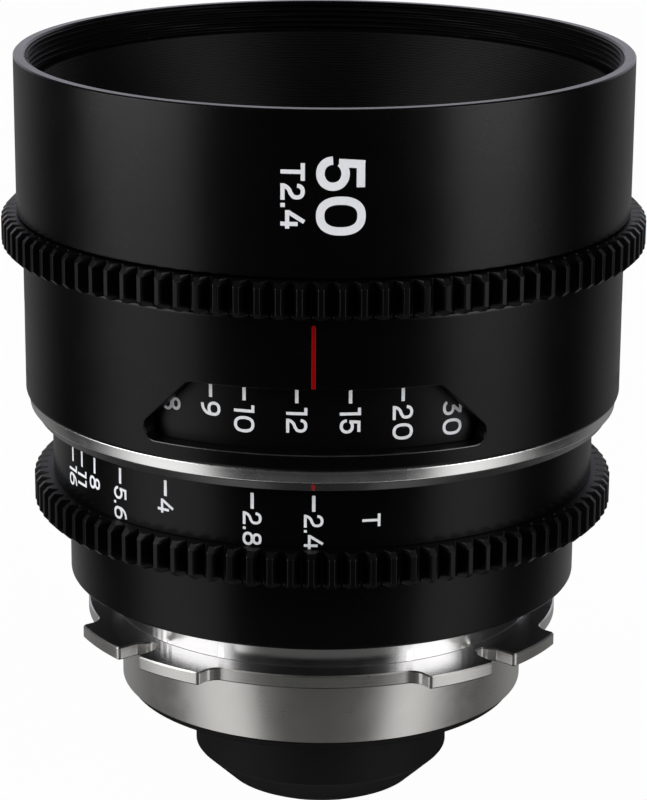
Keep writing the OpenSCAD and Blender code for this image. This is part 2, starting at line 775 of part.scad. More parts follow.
// Front bell: filter thread, inner floor and chamfered rim
module front_bell() {
    color("black") difference() {
        translate([0, 0, z_bell]) rotate_extrude() polygon([
            [0, 0], [bell_r, 0], [bell_r, bell_len - bell_chamfer],
            [bell_r - bell_chamfer, bell_len], [0, bell_len]]);
        bore(sleeve_r + sweep_gap, z_bell - cut, z_floor);
        bore(guide_r + seat_fit, z_bell - cut, z_rim);
        bore(bell_in, z_floor_top, z_rim);
        bore(filter_r, z_rim - filter_len, z_rim + cut);
        translate([0, 0, z_rim - bell_chamfer])
            cylinder(r1 = filter_r, r2 = filter_r + bell_chamfer, h = bell_chamfer);
    }
}

// Ring on the guide tube that locks the bell down, with four spanner notches
module bell_lock_ring() {
    lock_r = guide_r + bell_lock_w;
    notch = 2;
    color("dimgray") difference() {
        ring(guide_r + seat_fit, lock_r, z_floor_top, z_guide_top);
        for (az = [0:90:270]) at_azimuth(az)
            translate([lock_r - notch / 2, -notch / 2, z_floor_top - cut])
                cube([notch, notch, bell_lock_t + 2 * cut]);
    }
}

// Stepped black cone that stops stray light in front of the glass
module front_baffle() {
    steps = [for (i = [0:baffle_steps - 1]) for (j = [0, 1])
        [baffle_foot_r + baffle_run * i, z_baffle + baffle_rise * (i + j)]];
    color("black") rotate_extrude() polygon(concat(steps, [
        [bell_in - seat_fit, z_baffle_top], [bell_in - seat_fit, z_baffle_top - baffle_wall],
        [baffle_top_r - baffle_run / 2, z_baffle_top - baffle_wall - baffle_rise],
        [baffle_foot_r + baffle_wall + baffle_run, z_baffle]]));
}

// Rear cell: holds the rear glass and passes down through the mount
module rear_cell() {
    color("black") difference() {
        union() {
            bore(tail_d / 2, z_tail, z_body);
            bore(rear_cell_r, z_neck - lip_t, z_rear_cell_top);
            bore(rear_flange_r, z_plate_top, z_plate_top + cell_flange_plate);
        }
        bore(rear_bore, z_seat_7 - cut, z_seat_6 + cut);
        bore(lens_6[0] + seat_fit, z_seat_6, z_rear_cell_top + cut);
        bore(lens_7[0] + seat_fit, z_tail - cut, z_seat_7);
        for (i = [1:cell_screw_count])
            axial_screw_room(screw_circle, cell_screw_az(i), z_plate_top - cut,
                z_plate_top + cell_flange_plate + cut);
    }
}

// Three screws that hold the rear cell to the rear body's plate
module rear_cell_screws() {
    color("gray") for (i = [1:cell_screw_count])
        axial_screw(screw_circle, cell_screw_az(i), z_plate_top + cell_flange_plate,
            cell_flange_plate + screw_bite - screw_tip_gap, -1);
}

// Glass behind the iris
module fifth_element() { color("lightcyan") glass(lens_5, z_5); }
module sixth_element() { color("lightcyan") glass(lens_6, z_6); }
module seventh_element() { color("lightcyan") glass(lens_7, z_7); }
module rear_element() { color("lightcyan") glass(lens_8, z_8); }

// Ring that holds the cemented pair in the rear cell
module fifth_retaining_ring() {
    color("black") retaining_ring(rim_r(lens_5), lens_5[0], z_end_5, z_rear_cell_top, z_rear_cell_top);
}

// Tube that spaces the seventh element from the rear element
module rear_spacer_tube() {
    r_in = lens_7[0] - seat_w;
    color("black") ring(r_in, lens_7[0], front_z(lens_8, z_8, r_in), back_z(lens_7, z_7, r_in));
}

// Cone inside the nose ring, from its hole out to the rim of the rear element
module nose_bore() {
    z_start = z_nose + nose_len / 2;
    flare = (rim_r(lens_8) - nose_hole_d / 2) / (z_end_8 - z_start);
    translate([0, 0, z_start]) cylinder(
        r1 = nose_hole_d / 2, r2 = rim_r(lens_8) + flare * cut, h = z_end_8 - z_start + cut);
}

// Conical ring that screws into the tail and holds the rear element
module rear_nose_ring() {
    color("black") difference() {
        union() {
            translate([0, 0, z_nose]) cylinder(r1 = nose_tip_d / 2, r2 = tail_d / 2, h = nose_len);
            bore(lens_8[0], z_tail - cut, z_end_8);
        }
        translate([0, 0, z_nose - cut]) cylinder(r = nose_hole_d / 2, h = nose_len + cut);
        nose_bore();
    }
}

// Low-friction washers at the two ends of the helical sleeve
module lower_thrust_washer() {
    color("peru") ring(guide_r + seat_fit, sleeve_r, z_washer, z_washer + washer_t);
}
module upper_thrust_washer() {
    color("peru") ring(guide_r + seat_fit, sleeve_r, z_top_washer, z_top_washer + washer_t);
}

// Focus gear ring, fixed to the helical sleeve by screws between its teeth
gear_screw_az = [for (k = [0:3]) focus_phase + (floor(focus_teeth * k / 4) + 0.5) * 360 / focus_teeth];
z_gear_screw = z_gear + focus_gear_w / 2;
module focus_gear_ring() {
    color("black") difference() {
        gear_ring(focus_teeth, focus_phase, sleeve_r + seat_fit, z_gear, focus_gear_w);
        for (az = gear_screw_az) radial_rod(screw_d / 2 + screw_side_fit,
            sleeve_in, tip_r(focus_teeth) + cut, z_gear_screw, az);
    }
}

// Four headless screws that hold the gear ring on the sleeve
module gear_ring_screws() {
    color("gray") for (az = gear_screw_az)
        grub_screw(sleeve_r + seat_fit, root_r(focus_teeth) - gear_grub_sink, z_gear_screw, az);
}

// Drum with the distance scale, seen through the window
scale_screw_az = [0, 120, 240];
z_scale_screw = z_drum + screw_d;
module focus_scale_drum() {
    color("black") difference() {
        ring(drum_in, drum_r, z_drum, z_drum_top);
        for (az = scale_screw_az) radial_rod(screw_d / 2 + screw_side_fit,
            drum_in - cut, drum_r + cut, z_scale_screw, az);
    }
}

// Three headless screws that hold the drum on the sleeve
module scale_drum_screws() {
    color("gray") for (az = scale_screw_az)
        grub_screw(sleeve_r + seat_fit, drum_r - drum_grub_sink, z_scale_screw, az);
}

// Helical sleeve: one groove of about a turn and a half carries the three followers
module focus_sleeve() {
    groove_span = 2 * follower_step + focus_near + focus_far;
    end_turn = asin(groove_w / 2 / sleeve_in);
    az_low = follower_az - focus_near - end_turn;
    az_high = az_low + groove_span + 2 * end_turn;
    color("goldenrod") difference() {
        ring(sleeve_in, sleeve_r, z_sleeve, z_sleeve_top);
        helix_cut(az_low, az_high);
    }
}

// Height of the helix at an azimuth of the sleeve: it falls by one lead in a turn
function helix_z(az) = follower_z(0) + helix_lead * (follower_az - az) / 360;

// Swept rectangular groove, as one closed strip of triangles
module helix_cut(az_low, az_high) {
    turns = ceil((az_high - az_low) / groove_step);
    corners = [[guide_in, -1], [groove_r, -1], [groove_r, 1], [guide_in, 1]];
    points = [for (i = [0:turns]) for (c = corners)
        let (az = az_low + (az_high - az_low) * i / turns)
        [c[0] * sin(az), -c[0] * cos(az), helix_z(az) + c[1] * groove_w / 2]];
    sides = [for (i = [0:turns - 1]) for (c = [0:3])
        let (a = 4 * i + c, b = 4 * i + (c + 1) % 4) each [[a, b, a + 4], [b, b + 4, a + 4]]];
    end = 4 * turns;
    caps = [[0, 2, 1], [0, 3, 2], [end, end + 1, end + 2], [end, end + 2, end + 3]];
    polyhedron(points, concat(sides, caps));
}

// Carrier that slides in the guide tube and takes the front cell
module focus_carrier() {
    color("gray") difference() {
        ring(carrier_in, carrier_r, z_carrier, z_carrier_top);
        for (k = [0:2]) radial_rod(follower_r + screw_side_fit, carrier_in - cut, carrier_r + cut,
            follower_z(k), follower_az + follower_step * k);
        for (az = cell_screws_az) axial_screw_room(cell_screw_circle, az,
            z_carrier_top - screw_bite, z_carrier_top + cut);
    }
}

// Places of the screws through the front cell's flange
cell_screws_az = [0, 120, 240];

// Steel pins in the carrier, each with its end in the sleeve's groove
module follower_pins() {
    color("silver") for (k = [0:2])
        radial_rod(follower_r, carrier_in + follower_sink, groove_r - groove_clear,
            follower_z(k), follower_az + follower_step * k);
}

// Bronze rollers on the pins, running in the guide tube's slots
module follower_rollers() {
    color("peru") for (k = [0:2]) difference() {
        radial_rod(roller_r, carrier_r + roller_side_gap, guide_r - roller_side_gap,
            follower_z(k), follower_az + follower_step * k);
        radial_rod(follower_r + seat_fit, carrier_r - cut, guide_r + cut,
            follower_z(k), follower_az + follower_step * k);
    }
}

// Front cell: stepped bores for the front glass, and a flange on the carrier
module front_cell() {
    color("black") difference() {
        union() {
            bore(cell_flange_r, z_carrier_top, z_cell_top);
            bore(cell_r, z_cell_step, z_cell_top);
            bore(cell_neck_r, z_cell, z_cell_top);
        }
        bore(lens_1[0] + seat_fit, z_seat_1, z_cell_top + cut);
        bore(lens_2[0] + seat_fit, z_seat_2, z_seat_1 + cut);
        bore(lens_2[0] - seat_w, z_2 - lens_2[1] - vertex_gap, z_seat_2 + cut);
        bore(lens_3[0] - seat_w, z_seat_3 - cut, z_seat_2 + cut);
        bore(lens_3[0] + seat_fit, z_cell - cut, z_seat_3);
        for (az = cell_screws_az) {
            axial_screw_room(cell_screw_circle, az, z_carrier_top - cut, z_cell_top + cut);
            at_azimuth(az) translate([cell_screw_circle, 0, z_cell_top - screw_head_h])
                cylinder(r = screw_head_d / 2 + screw_side_fit, h = screw_head_h + cut, $fn = 48);
        }
    }
}

// Three screws that hold the front cell on the carrier
module front_cell_screws() {
    color("gray") for (az = cell_screws_az)
        axial_screw(cell_screw_circle, az, z_cell_top - screw_head_h,
            cell_flange_t - screw_head_h + screw_bite - screw_tip_gap, -1);
}

// Glass in front of the iris
module front_element() { color("lightcyan") glass(lens_1, z_1); }
module second_element() { color("lightcyan") glass(lens_2, z_2); }
module third_element() { color("lightcyan") glass(lens_3, z_3); }
module fourth_element() { color("lightcyan") glass(lens_4, z_4); }

// Rings that hold the elements of the front cell
module front_retaining_ring() {
    r_in = lens_1[0] - seat_w;
    color("black") retaining_ring(r_in, lens_1[0], front_z(lens_1, z_1, r_in), z_cell_top, z_cell_top);
}
module second_retaining_ring() {
    r_in = lens_2[0] - seat_w;
    z_low = front_z(lens_2, z_2, r_in);
    color("black") retaining_ring(r_in, lens_2[0], z_low, z_low + retainer_t / 2, z_low + retainer_t / 2);
}
module fourth_retaining_ring() {
    color("black") retaining_ring(rim_r(lens_4) - retainer_lip, lens_4[0], z_cell, z_end_4, z_cell);
}

// Iris scale ring, with a seat for its gear ring
iris_seat_r = root_r(iris_teeth) - gear_rim;
module iris_scale_ring() {
    color("black") difference() {
        union() {
            ring(iris_in, iris_seat_r - seat_fit, z_iris, z_iris_gear_top + weld);
            ring(iris_in, iris_r, z_iris_gear_top, z_iris_top);
        }
        radial_rod(drive_screw_d / 2 + screw_side_fit, iris_in - cut, iris_r + cut, z_drive, drive_az);
    }
}

// Iris gear ring, pressed on the scale ring
module iris_gear_ring() {
    color("black") gear_ring(iris_teeth, iris_phase, iris_seat_r, z_iris, iris_gear_w);
}

// Headless screw from the iris ring through the slots into the cam ring
module iris_drive_screw() {
    color("gray") difference() {
        radial_rod(drive_screw_d / 2, cam_r - drive_bite, iris_r - drive_sink, z_drive, drive_az);
        radial_rod(drive_screw_d / 4, iris_r - drive_sink - screw_slot, iris_r + cut, z_drive, drive_az);
    }
}

// Place of a blade's drive pin in the cam ring when the iris has gone a share of its way
function cam_point(share) = let (
        swing = blade_swing * share,
        turn = -iris_throw * share,
        x = pivot_r + blade_tail * sin(swing),
        y = -blade_tail * cos(swing)
    )
    [x * cos(turn) - y * sin(turn), x * sin(turn) + y * cos(turn)];

// Sideways direction of the slot at a share of its way
cam_delta = 0.01;
function cam_normal(share) = let (
        along = unit(cam_point(share + cam_delta) - cam_point(share - cam_delta))
    )
    [-along[1], along[0]];

// Cam ring: a spiral slot for each blade's drive pin
module iris_cam_ring() {
    slot_half = pin_r + cam_slot_fit;
    steps = 18;
    left = [for (i = [0:steps]) cam_point(i / steps) + slot_half * cam_normal(i / steps)];
    right = [for (i = [steps:-1:0]) cam_point(i / steps) - slot_half * cam_normal(i / steps)];
    color("gray") difference() {
        ring(cam_hole_r, cam_r, z_cam, z_cam + cam_t);
        for (i = [0:blade_count - 1]) rotate([0, 0, i * 360 / blade_count])
            translate([0, 0, z_cam - cut]) {
                linear_extrude(height = cam_t + 2 * cut) polygon(concat(left, right));
                for (end = [0, 1]) translate(cam_point(end))
                    cylinder(r = slot_half, h = cam_t + 2 * cut, $fn = 48);
            }
        radial_rod(drive_screw_d / 2 + screw_side_fit, cam_r - drive_bite - screw_tip_gap,
            cam_r + cut, z_drive, drive_az);
    }
}

// Iris blade: a thin crescent with a tail, a pivot pin below and a drive pin above
module iris_blade(i) {
    z = z_blades + i * blade_pitch;
    arc_steps = 23;
    rays = [for (s = [0:arc_steps]) [cos(blade_span * s / arc_steps), sin(blade_span * s / arc_steps)]];
    inner = [for (s = [0:arc_steps]) blade_in * rays[s]];
    outer = [for (s = [arc_steps:-1:0]) blade_out * rays[s]];
    color("darkslategray") rotate([0, 0, i * 360 / blade_count]) {
        translate([0, 0, z]) {
            linear_extrude(height = blade_t) polygon(concat(inner, outer));
            translate([blade_out - tail_r, -tail_r, 0])
                cube([pivot_r - blade_out + tail_r, 2 * tail_r, blade_t]);
            translate([pivot_r - tail_r, -blade_tail, 0]) cube([2 * tail_r, blade_tail, blade_t]);
            translate([pivot_r, 0, 0]) cylinder(r = lobe_r, h = blade_t, $fn = 48);
            translate([pivot_r, -blade_tail, 0]) cylinder(r = tail_r, h = blade_t, $fn = 48);
        }
        translate([pivot_r, 0, 0]) bore(pin_r, z_housing + housing_base - pivot_depth, z + blade_t / 2);
        translate([pivot_r, -blade_tail, 0]) bore(pin_r, z + blade_t / 2, z_cam + cam_t - pin_end_gap);
    }
}

bayonet_mount();
mount_shim();
mount_screws();
rear_body();
rear_sleeve();
rear_sleeve_screws();
iris_housing();
iris_cover();
guide_tube();
guide_tube_screws();
accent_ring();
index_ring();
main_barrel();
main_barrel_screws();
front_bell();
bell_lock_ring();
front_baffle();
rear_cell();
rear_cell_screws();
fifth_element();
sixth_element();
fifth_retaining_ring();
seventh_element();
rear_spacer_tube();
rear_element();
rear_nose_ring();
lower_thrust_washer();
upper_thrust_washer();
focus_gear_ring();
gear_ring_screws();
focus_scale_drum();
scale_drum_screws();
focus_sleeve();
focus_carrier();
follower_pins();
follower_rollers();
front_cell();
front_cell_screws();
front_element();
front_retaining_ring();
second_element();
second_retaining_ring();
third_element();
fourth_element();
fourth_retaining_ring();
iris_scale_ring();
iris_gear_ring();
iris_drive_screw();
iris_cam_ring();
for (i = [0:blade_count - 1])
    iris_blade(i);
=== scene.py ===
import math

import bmesh
import bpy
import numpy as np
from mathutils import Matrix, Vector


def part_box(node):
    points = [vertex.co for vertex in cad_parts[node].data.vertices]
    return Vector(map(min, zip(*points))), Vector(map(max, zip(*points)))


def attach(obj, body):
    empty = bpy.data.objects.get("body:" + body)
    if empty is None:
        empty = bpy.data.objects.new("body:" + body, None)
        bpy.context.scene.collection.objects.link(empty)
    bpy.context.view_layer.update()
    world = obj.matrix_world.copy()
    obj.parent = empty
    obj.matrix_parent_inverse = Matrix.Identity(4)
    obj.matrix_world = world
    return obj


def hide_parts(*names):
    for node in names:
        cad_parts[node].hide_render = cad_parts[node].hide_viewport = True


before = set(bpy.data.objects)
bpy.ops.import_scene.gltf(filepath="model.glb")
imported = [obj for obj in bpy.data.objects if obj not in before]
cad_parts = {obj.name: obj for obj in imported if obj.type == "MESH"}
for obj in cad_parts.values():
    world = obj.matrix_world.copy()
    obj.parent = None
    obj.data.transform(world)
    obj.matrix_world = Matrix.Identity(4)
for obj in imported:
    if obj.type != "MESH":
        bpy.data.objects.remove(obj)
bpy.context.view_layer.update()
bpy.context.scene.view_settings.view_transform = "Standard"


# Bayonet mount: a stainless steel spigot, a flange with four tabs, notched in the middle, and a neck. It is
# turned from bar and its tabs are milled. The neck is polished, and the flange's front face is polished and
# coloured darker than steel, a painted shade that dims its reflections. The flange's rear face is the seat,
# at height 0.
def span(node):
    """Radius, lowest and highest height of a CAD node in millimetres, read from its box."""
    low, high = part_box(node)
    return 1000 * high.x, 1000 * low.z, 1000 * high.z


def unit(vectors):
    """Vectors of length 1 in the same directions."""
    return vectors / np.maximum(np.linalg.norm(vectors, axis=-1, keepdims=True), 1e-12)


def rounded(corners, radii, steps=5):
    """Closed outline whose corners become arcs. An arc's centre lies on its corner's bisector, the radius
    over the sine of half the corner's angle away, and its ends lie the radius over the tangent away."""
    corners = np.asarray(corners, float)
    radii = np.broadcast_to(np.asarray(radii, float), len(corners))[:, None]
    back = unit(np.roll(corners, 1, 0) - corners)
    ahead = unit(np.roll(corners, -1, 0) - corners)
    half = np.arccos(np.clip((back * ahead).sum(1), -1, 1))[:, None] / 2
    centre = corners + unit(back + ahead) * radii / np.sin(half)
    start = corners + back * radii / np.tan(half) - centre
    end = corners + ahead * radii / np.tan(half) - centre
    share = np.linspace(0, 1, steps)[None, :, None]
    arcs = unit(start[:, None] * (1 - share) + end[:, None] * share)
    outline = (centre[:, None] + radii[:, None] * arcs).reshape(-1, 2)
    return outline[np.linalg.norm(outline - np.roll(outline, 1, 0), axis=1) > 1e-6]


def polar(radius, azimuth, height):
    """Points at a radius, an azimuth counted from the index line, -Y, towards +X, and a height."""
    radius, azimuth, height = np.broadcast_arrays(radius, azimuth, height)
    return np.stack([radius * np.sin(azimuth), -radius * np.cos(azimuth), height], -1)


def turned(section, columns=288):
    """Grid of a turned piece: every point of the section, (radius, height), carried round the axis."""
    azimuth = np.arange(columns) * 2 * np.pi / columns
    return polar(section[:, :1], azimuth, section[:, 1:])


def grid_quads(rows, columns, ring_rows=True, ring_columns=True):
    """Corners of a grid's quads: a point, its neighbour along the row, and the two on the next row.
    The last row or column meets the first where that direction is a ring."""
    index = np.arange(rows * columns).reshape(rows, columns)
    beside, above = np.roll(index, -1, 1), np.roll(index, -1, 0)
    quads = np.stack([index, beside, np.roll(beside, -1, 0), above], -1)
    return quads[: rows if ring_rows else rows - 1, : columns if ring_columns else columns - 1].reshape(-1, 4)


def piece(name, points, quads, body, materials, replaced=(), material_index=None, crease=38):
    """One piece on a body: points in millimetres, quads that face outwards, and the nodes it stands for.
    Coinciding points merge, edges turning more than the crease angle stay sharp, large faces stay flat."""
    mesh = bpy.data.meshes.new(name)
    points = np.asarray(points, float).reshape(-1, 3) / 1000
    mesh.vertices.add(len(points))
    mesh.vertices.foreach_set("co", points.ravel())
    mesh.loops.add(quads.size)
    mesh.loops.foreach_set("vertex_index", quads.ravel().astype(np.int32))
    mesh.polygons.add(len(quads))
    mesh.polygons.foreach_set("loop_start", np.arange(0, quads.size, quads.shape[1], dtype=np.int32))
    for material in materials:
        mesh.materials.append(material)
    if material_index is not None:
        mesh.polygons.foreach_set("material_index", np.asarray(material_index, np.int32))
    mesh.update(calc_edges=True)
    shape = bmesh.new()
    shape.from_mesh(mesh)
    bmesh.ops.remove_doubles(shape, verts=shape.verts, dist=1e-7)
    shape.to_mesh(mesh)
    shape.free()
    mesh.shade_smooth()
    mesh.set_sharp_from_angle(angle=math.radians(crease))
    made = bpy.data.objects.new(name, mesh)
    bpy.context.scene.collection.objects.link(made)
    flat = made.modifiers.new("flat faces", "WEIGHTED_NORMAL")
    flat.keep_sharp = True
    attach(made, body)
    if replaced:
        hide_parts(*replaced)


def turned_piece(name, section, body, materials, replaced=()):
    """Turned piece from a closed section, counter-clockwise with the radius to the right."""
    points = turned(section)
    piece(name, points, grid_quads(*points.shape[:2]), body, materials, replaced)


class Value:
    """A shader value. Arithmetic on it adds Math nodes, and node() adds any other node to the same tree."""

    def __init__(self, tree, socket=None):
        self.tree, self.socket = tree, socket

    def node(self, kind, settings=None, sockets=None, out=0):
        """A node of a kind, its settings made first, its sockets given values or linked, and one output."""
        made = self.tree.nodes.new("ShaderNode" + kind)
        for key, value in (settings or {}).items():
            setattr(made, key, value)
        for key, value in (sockets or {}).items():
            if isinstance(value, Value):
                self.tree.links.new(value.socket, made.inputs[key])
            else:
                made.inputs[key].default_value = value
        return Value(self.tree, made.outputs[out])

    def other(self, out):
        """Another output of the same node."""
        return Value(self.tree, self.socket.node.outputs[out])

    def feeds(self, shader, key):
        """Links this value to a shader's socket."""
        self.tree.links.new(self.socket, shader.inputs[key])

    def math(self, operation, first, second):
        """A Math node with an operation on two values."""
        return self.node("Math", {"operation": operation}, {0: first, 1: second})

    def __abs__(self):
        return self.node("Math", {"operation": "ABSOLUTE"}, {0: self})

    def __add__(self, other):
        return self.math("ADD", self, other)

    def __sub__(self, other):
        return self.math("SUBTRACT", self, other)

    def __rsub__(self, other):
        return self.math("SUBTRACT", other, self)

    def __mul__(self, other):
        return self.math("MULTIPLY", self, other)

    __radd__, __rmul__ = __add__, __mul__

    def __pow__(self, other):
        return self.math("POWER", self, other)


def finish(name, **fixed):
    """A material, its Principled shader with the fixed sockets set, and an empty value of its tree."""
    material = bpy.data.materials.new(name)
    material.use_nodes = True
    shader = material.node_tree.nodes["Principled BSDF"]
    for key, value in fixed.items():
        shader.inputs[key.replace("_", " ")].default_value = value
    return material, shader, Value(material.node_tree)


def speckle(start, size_mm, detail=2.0):
    """Noise whose grains are about a size in millimetres, on the piece's own coordinates."""
    place = start.node("TexCoord", out="Object")
    return start.node("TexNoise", {"noise_dimensions": "3D"},
                      {"Vector": place, "Scale": 1000 / size_mm, "Detail": detail})


def own_axes(start):
    """The piece's own x, y and z, in metres."""
    x = start.node("SeparateXYZ", sockets={0: start.node("TexCoord", out="Object")})
    return x, x.other("Y"), x.other("Z")


def lathe_lines(start, size_mm):
    """Noise that changes only with the radius and the height, so that it runs round the axis in rings."""
    x, y, z = own_axes(start)
    radius = (x * x + y * y) ** 0.5
    ring = start.node("CombineXYZ", sockets={"X": radius, "Y": z})
    return start.node("TexNoise", {"noise_dimensions": "2D"},
                      {"Vector": ring, "Scale": 1000 / size_mm, "Detail": 3.0})


def raised(start, height, micrometres):
    """Normal of a surface that a height from 0 to 1 raises by some micrometres."""
    return start.node("Bump", sockets={"Strength": 1.0, "Distance": micrometres * 1e-6, "Height": height})


def tinted(share, colour, dark, light=1.0):
    """A colour times a factor, which goes from dark to light as a share goes from 0 to 1."""
    ends = [[factor * part for part in colour] + [1] for factor in (dark, light)]
    return share.node("Mix", {"data_type": "RGBA"}, {"Factor": share, 6: ends[0], 7: ends[1]}, out=2)


def turned_metal(name, colour, roughness, line_mm, line_um, shade):
    """Turned metal: rings of fine tool marks in its normal, its colour and its roughness, and soft smears."""
    material, shader, start = finish(name, Metallic=1.0)
    lines, smears = lathe_lines(start, line_mm), speckle(start, 2.5, 3.0)
    tinted(lines, colour, 1 - shade).feeds(shader, "Base Color")
    (roughness * 0.6 + lines * (roughness * 0.4) + smears * (roughness * 0.4)).feeds(shader, "Roughness")
    raised(start, lines, line_um).feeds(shader, "Normal")
    return material


satin_steel = turned_metal("satin_steel", (0.60, 0.59, 0.57), 0.30, 0.12, 0.8, 0.1)
polished_steel = turned_metal("polished_steel", (0.80, 0.79, 0.78), 0.21, 0.5, 0.6, 0.1)
# The flange's front face gets a steel far darker than the neck's: painted shade that dims the reflections in
# it and on the tabs.
shade_darkened_steel = turned_metal("shade_darkened_steel", (0.22, 0.22, 0.225), 0.15, 0.5, 0.3, 0.1)

spigot_low, neck_top = span("bayonet_mount")[1:]
spigot_r, spigot_in, neck_r, screw_hole_r = 27.0, 24.6, 28.4, 19.7
flange_r, flange_t, lip_low = 31.5, 1.75, 3.5
tab_r, tab_half, tab_round, tab_fillet, tab_slope = 34.25, math.radians(19.7), 0.45, 1.8, 0.6
tab_azimuths = np.radians([45, 135, 225, 315])
notch_mouth, notch_bottom, notch_high, notch_low = 1.6, 0.9, 31.2, 29.7
notch_draft, notch_step, notch_rounds = 0.1, 0.8, [0.5, 0.4, 0.5]
flange_edge, neck_fillet, spigot_edge = 0.18, 0.06, 0.28


def flange_outline(spacing=0.45, bend_steps=7):
    """Azimuths and radii of the flange's edge. A quarter of it is drawn unrolled at the flange's radius: the
    tab's ends run out in hollow fillets and its notch is narrower inside than at its mouth."""
    quarter, end = math.radians(45) * flange_r, tab_half * flange_r
    right = np.array([
        (quarter, flange_r), (end + tab_slope, flange_r), (end, tab_r), (notch_mouth + notch_draft, tab_r),
        (notch_mouth, notch_high), (notch_bottom, notch_high - notch_step),
        (notch_bottom - notch_draft, notch_low)])
    bends = [0, tab_fillet, tab_round, tab_round] + notch_rounds
    base = [(-quarter, 0), (quarter, 0)]
    corners = np.concatenate([base, right, right[::-1] * (-1, 1)])
    outline = rounded(corners, [0, 0] + bends + bends[::-1], bend_steps)[:1:-1]
    at = np.concatenate([[0], np.cumsum(np.linalg.norm(np.diff(outline, axis=0), axis=1))])
    place = np.union1d(at, np.arange(0, at[-1], spacing))[:-1]
    across, radius = np.interp(place, at, outline[:, 0]), np.interp(place, at, outline[:, 1])
    return (tab_azimuths[:, None] + across / flange_r).ravel(), np.tile(radius, 4)


def mount_grid():
    """Grid of the mount: rows follow its section from the spigot's rear end, columns go round. The rows of
    the flange's edge follow the outline, set in along its normal for the edge's bevel."""
    azimuth, radius = flange_outline()
    edge = polar(radius, azimuth, 0)[:, :2]
    along = unit(np.roll(edge, -1, 0) - np.roll(edge, 1, 0))
    outward = np.stack([along[:, 1], -along[:, 0]], -1)
    bend = np.linspace(0, np.pi / 2, 4)[1:-1]
    fillet_r = neck_r + neck_fillet * (1 - np.cos(bend))
    fillet_z = flange_t + neck_fillet * (1 - np.sin(bend))
    stations = [
        (spigot_in, spigot_low + spigot_edge, 0), (spigot_in + spigot_edge, spigot_low, 0),
        (spigot_r - spigot_edge, spigot_low, 0), (spigot_r, spigot_low + spigot_edge, 0),
        (spigot_r, 0, 0), (None, 0, flange_edge), (None, flange_edge, 0), (None, flange_t - flange_edge, 0),
        (None, flange_t, flange_edge), (neck_r + neck_fillet, flange_t, 0),
        (fillet_r[1], fillet_z[0], 0), (fillet_r[0], fillet_z[1], 0),
        (neck_r, flange_t + neck_fillet, 0), (neck_r, neck_top, 0), (screw_hole_r, neck_top, 0),
        (screw_hole_r, lip_low, 0), (spigot_in, lip_low, 0)]
    rows = []
    for row_r, height, inset in stations:
        flat = edge - inset * outward if row_r is None else polar(row_r, azimuth, 0)[:, :2]
        rows.append(np.concatenate([flat, np.full((len(flat), 1), height)], 1))
    return np.stack(rows)


mount_points = mount_grid()
mount_finish = [0] * 8 + [2] + [1] * 4 + [0] * 4
piece("bayonet_mount_steel", mount_points, grid_quads(*mount_points.shape[:2]), "barrel",
      [satin_steel, polished_steel, shade_darkened_steel], ["bayonet_mount"],
      np.repeat(mount_finish, mount_points.shape[1]))


# Shim and screws of the mount: a brass shim sets the seat's distance and six blackened steel screws
# clamp the mount to the rear body. The other screws of the lens are of the same steel.
def machined(name, colour, roughness, metallic, line_mm=0.3, line_um=2.0):
    """Machined inner piece: rings of tool marks over a fine speckle."""
    material, shader, start = finish(name, Metallic=metallic)
    lines, grains = lathe_lines(start, line_mm), speckle(start, 0.4)
    tinted(grains, colour, 0.75).feeds(shader, "Base Color")
    (roughness * 0.8 + grains * (roughness * 0.4)).feeds(shader, "Roughness")
    raised(start, lines, line_um).feeds(shader, "Normal")
    return material


def dress(material, *nodes):
    """Gives CAD nodes that show as they are a material in place of their own."""
    for name in nodes:
        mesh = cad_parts[name].data
        mesh.materials.clear()
        mesh.materials.append(material)


screw_steel = machined("screw_steel", (0.07, 0.07, 0.075), 0.35, 1.0, 0.2, 1.0)
dress(machined("rolled_brass", (0.72, 0.55, 0.24), 0.3, 1.0), "mount_shim")
dress(screw_steel, "mount_screws", "rear_sleeve_screws", "guide_tube_screws", "main_barrel_screws",
      "rear_cell_screws", "gear_ring_screws", "scale_drum_screws", "front_cell_screws", "iris_drive_screw")


# Inner structure: the rear body, the guide tube and what turns and slides in them. It is machined
# aluminium, with bronze for the helical sleeve and its rollers and plastic thrust washers.
dark_aluminium = machined("dark_aluminium", (0.09, 0.09, 0.095), 0.45, 0.6)
plain_aluminium = machined("plain_aluminium", (0.55, 0.55, 0.56), 0.35, 1.0)
dress(dark_aluminium, "rear_body", "iris_housing", "iris_cover", "bell_lock_ring")
dress(plain_aluminium, "guide_tube", "focus_carrier", "iris_cam_ring")
dress(machined("turned_bronze", (0.60, 0.42, 0.18), 0.3, 1.0), "focus_sleeve", "follower_rollers")
dress(machined("ground_steel", (0.70, 0.70, 0.70), 0.2, 1.0), "follower_pins")
dress(machined("slide_plastic", (0.74, 0.71, 0.64), 0.5, 0.0), "lower_thrust_washer", "upper_thrust_washer")
dress(machined("blued_leaf", (0.06, 0.06, 0.07), 0.4, 0.8, 0.5, 1.0),
      *["iris_blade_%02d" % number for number in range(1, 11)])


# Rear sleeve: a short black sleeve over the rear body, between the mount's neck and the iris gear.
# It is fine-blasted and black anodised aluminium, as all the black outside of the lens is.
def blasted_black(name, colour, roughness, gloss, grain_mm=0.16, grain_um=9.0):
    """Fine-blasted black anodised skin: tiny pits in the normal, and cloudy changes of tone and gloss."""
    material, shader, start = finish(name, Metallic=0.0, Specular_IOR_Level=gloss)
    grains, clouds = speckle(start, grain_mm, 1.0), speckle(start, 6.0, 3.0)
    tinted(grains, colour, 0.6, 1.4).feeds(shader, "Base Color")
    (roughness - 0.06 + clouds * 0.08 + grains * 0.04).feeds(shader, "Roughness")
    raised(start, grains, grain_um).feeds(shader, "Normal")
    return material


black_skin = blasted_black("blasted_black", (0.0010, 0.0010, 0.0011), 0.26, 0.18)


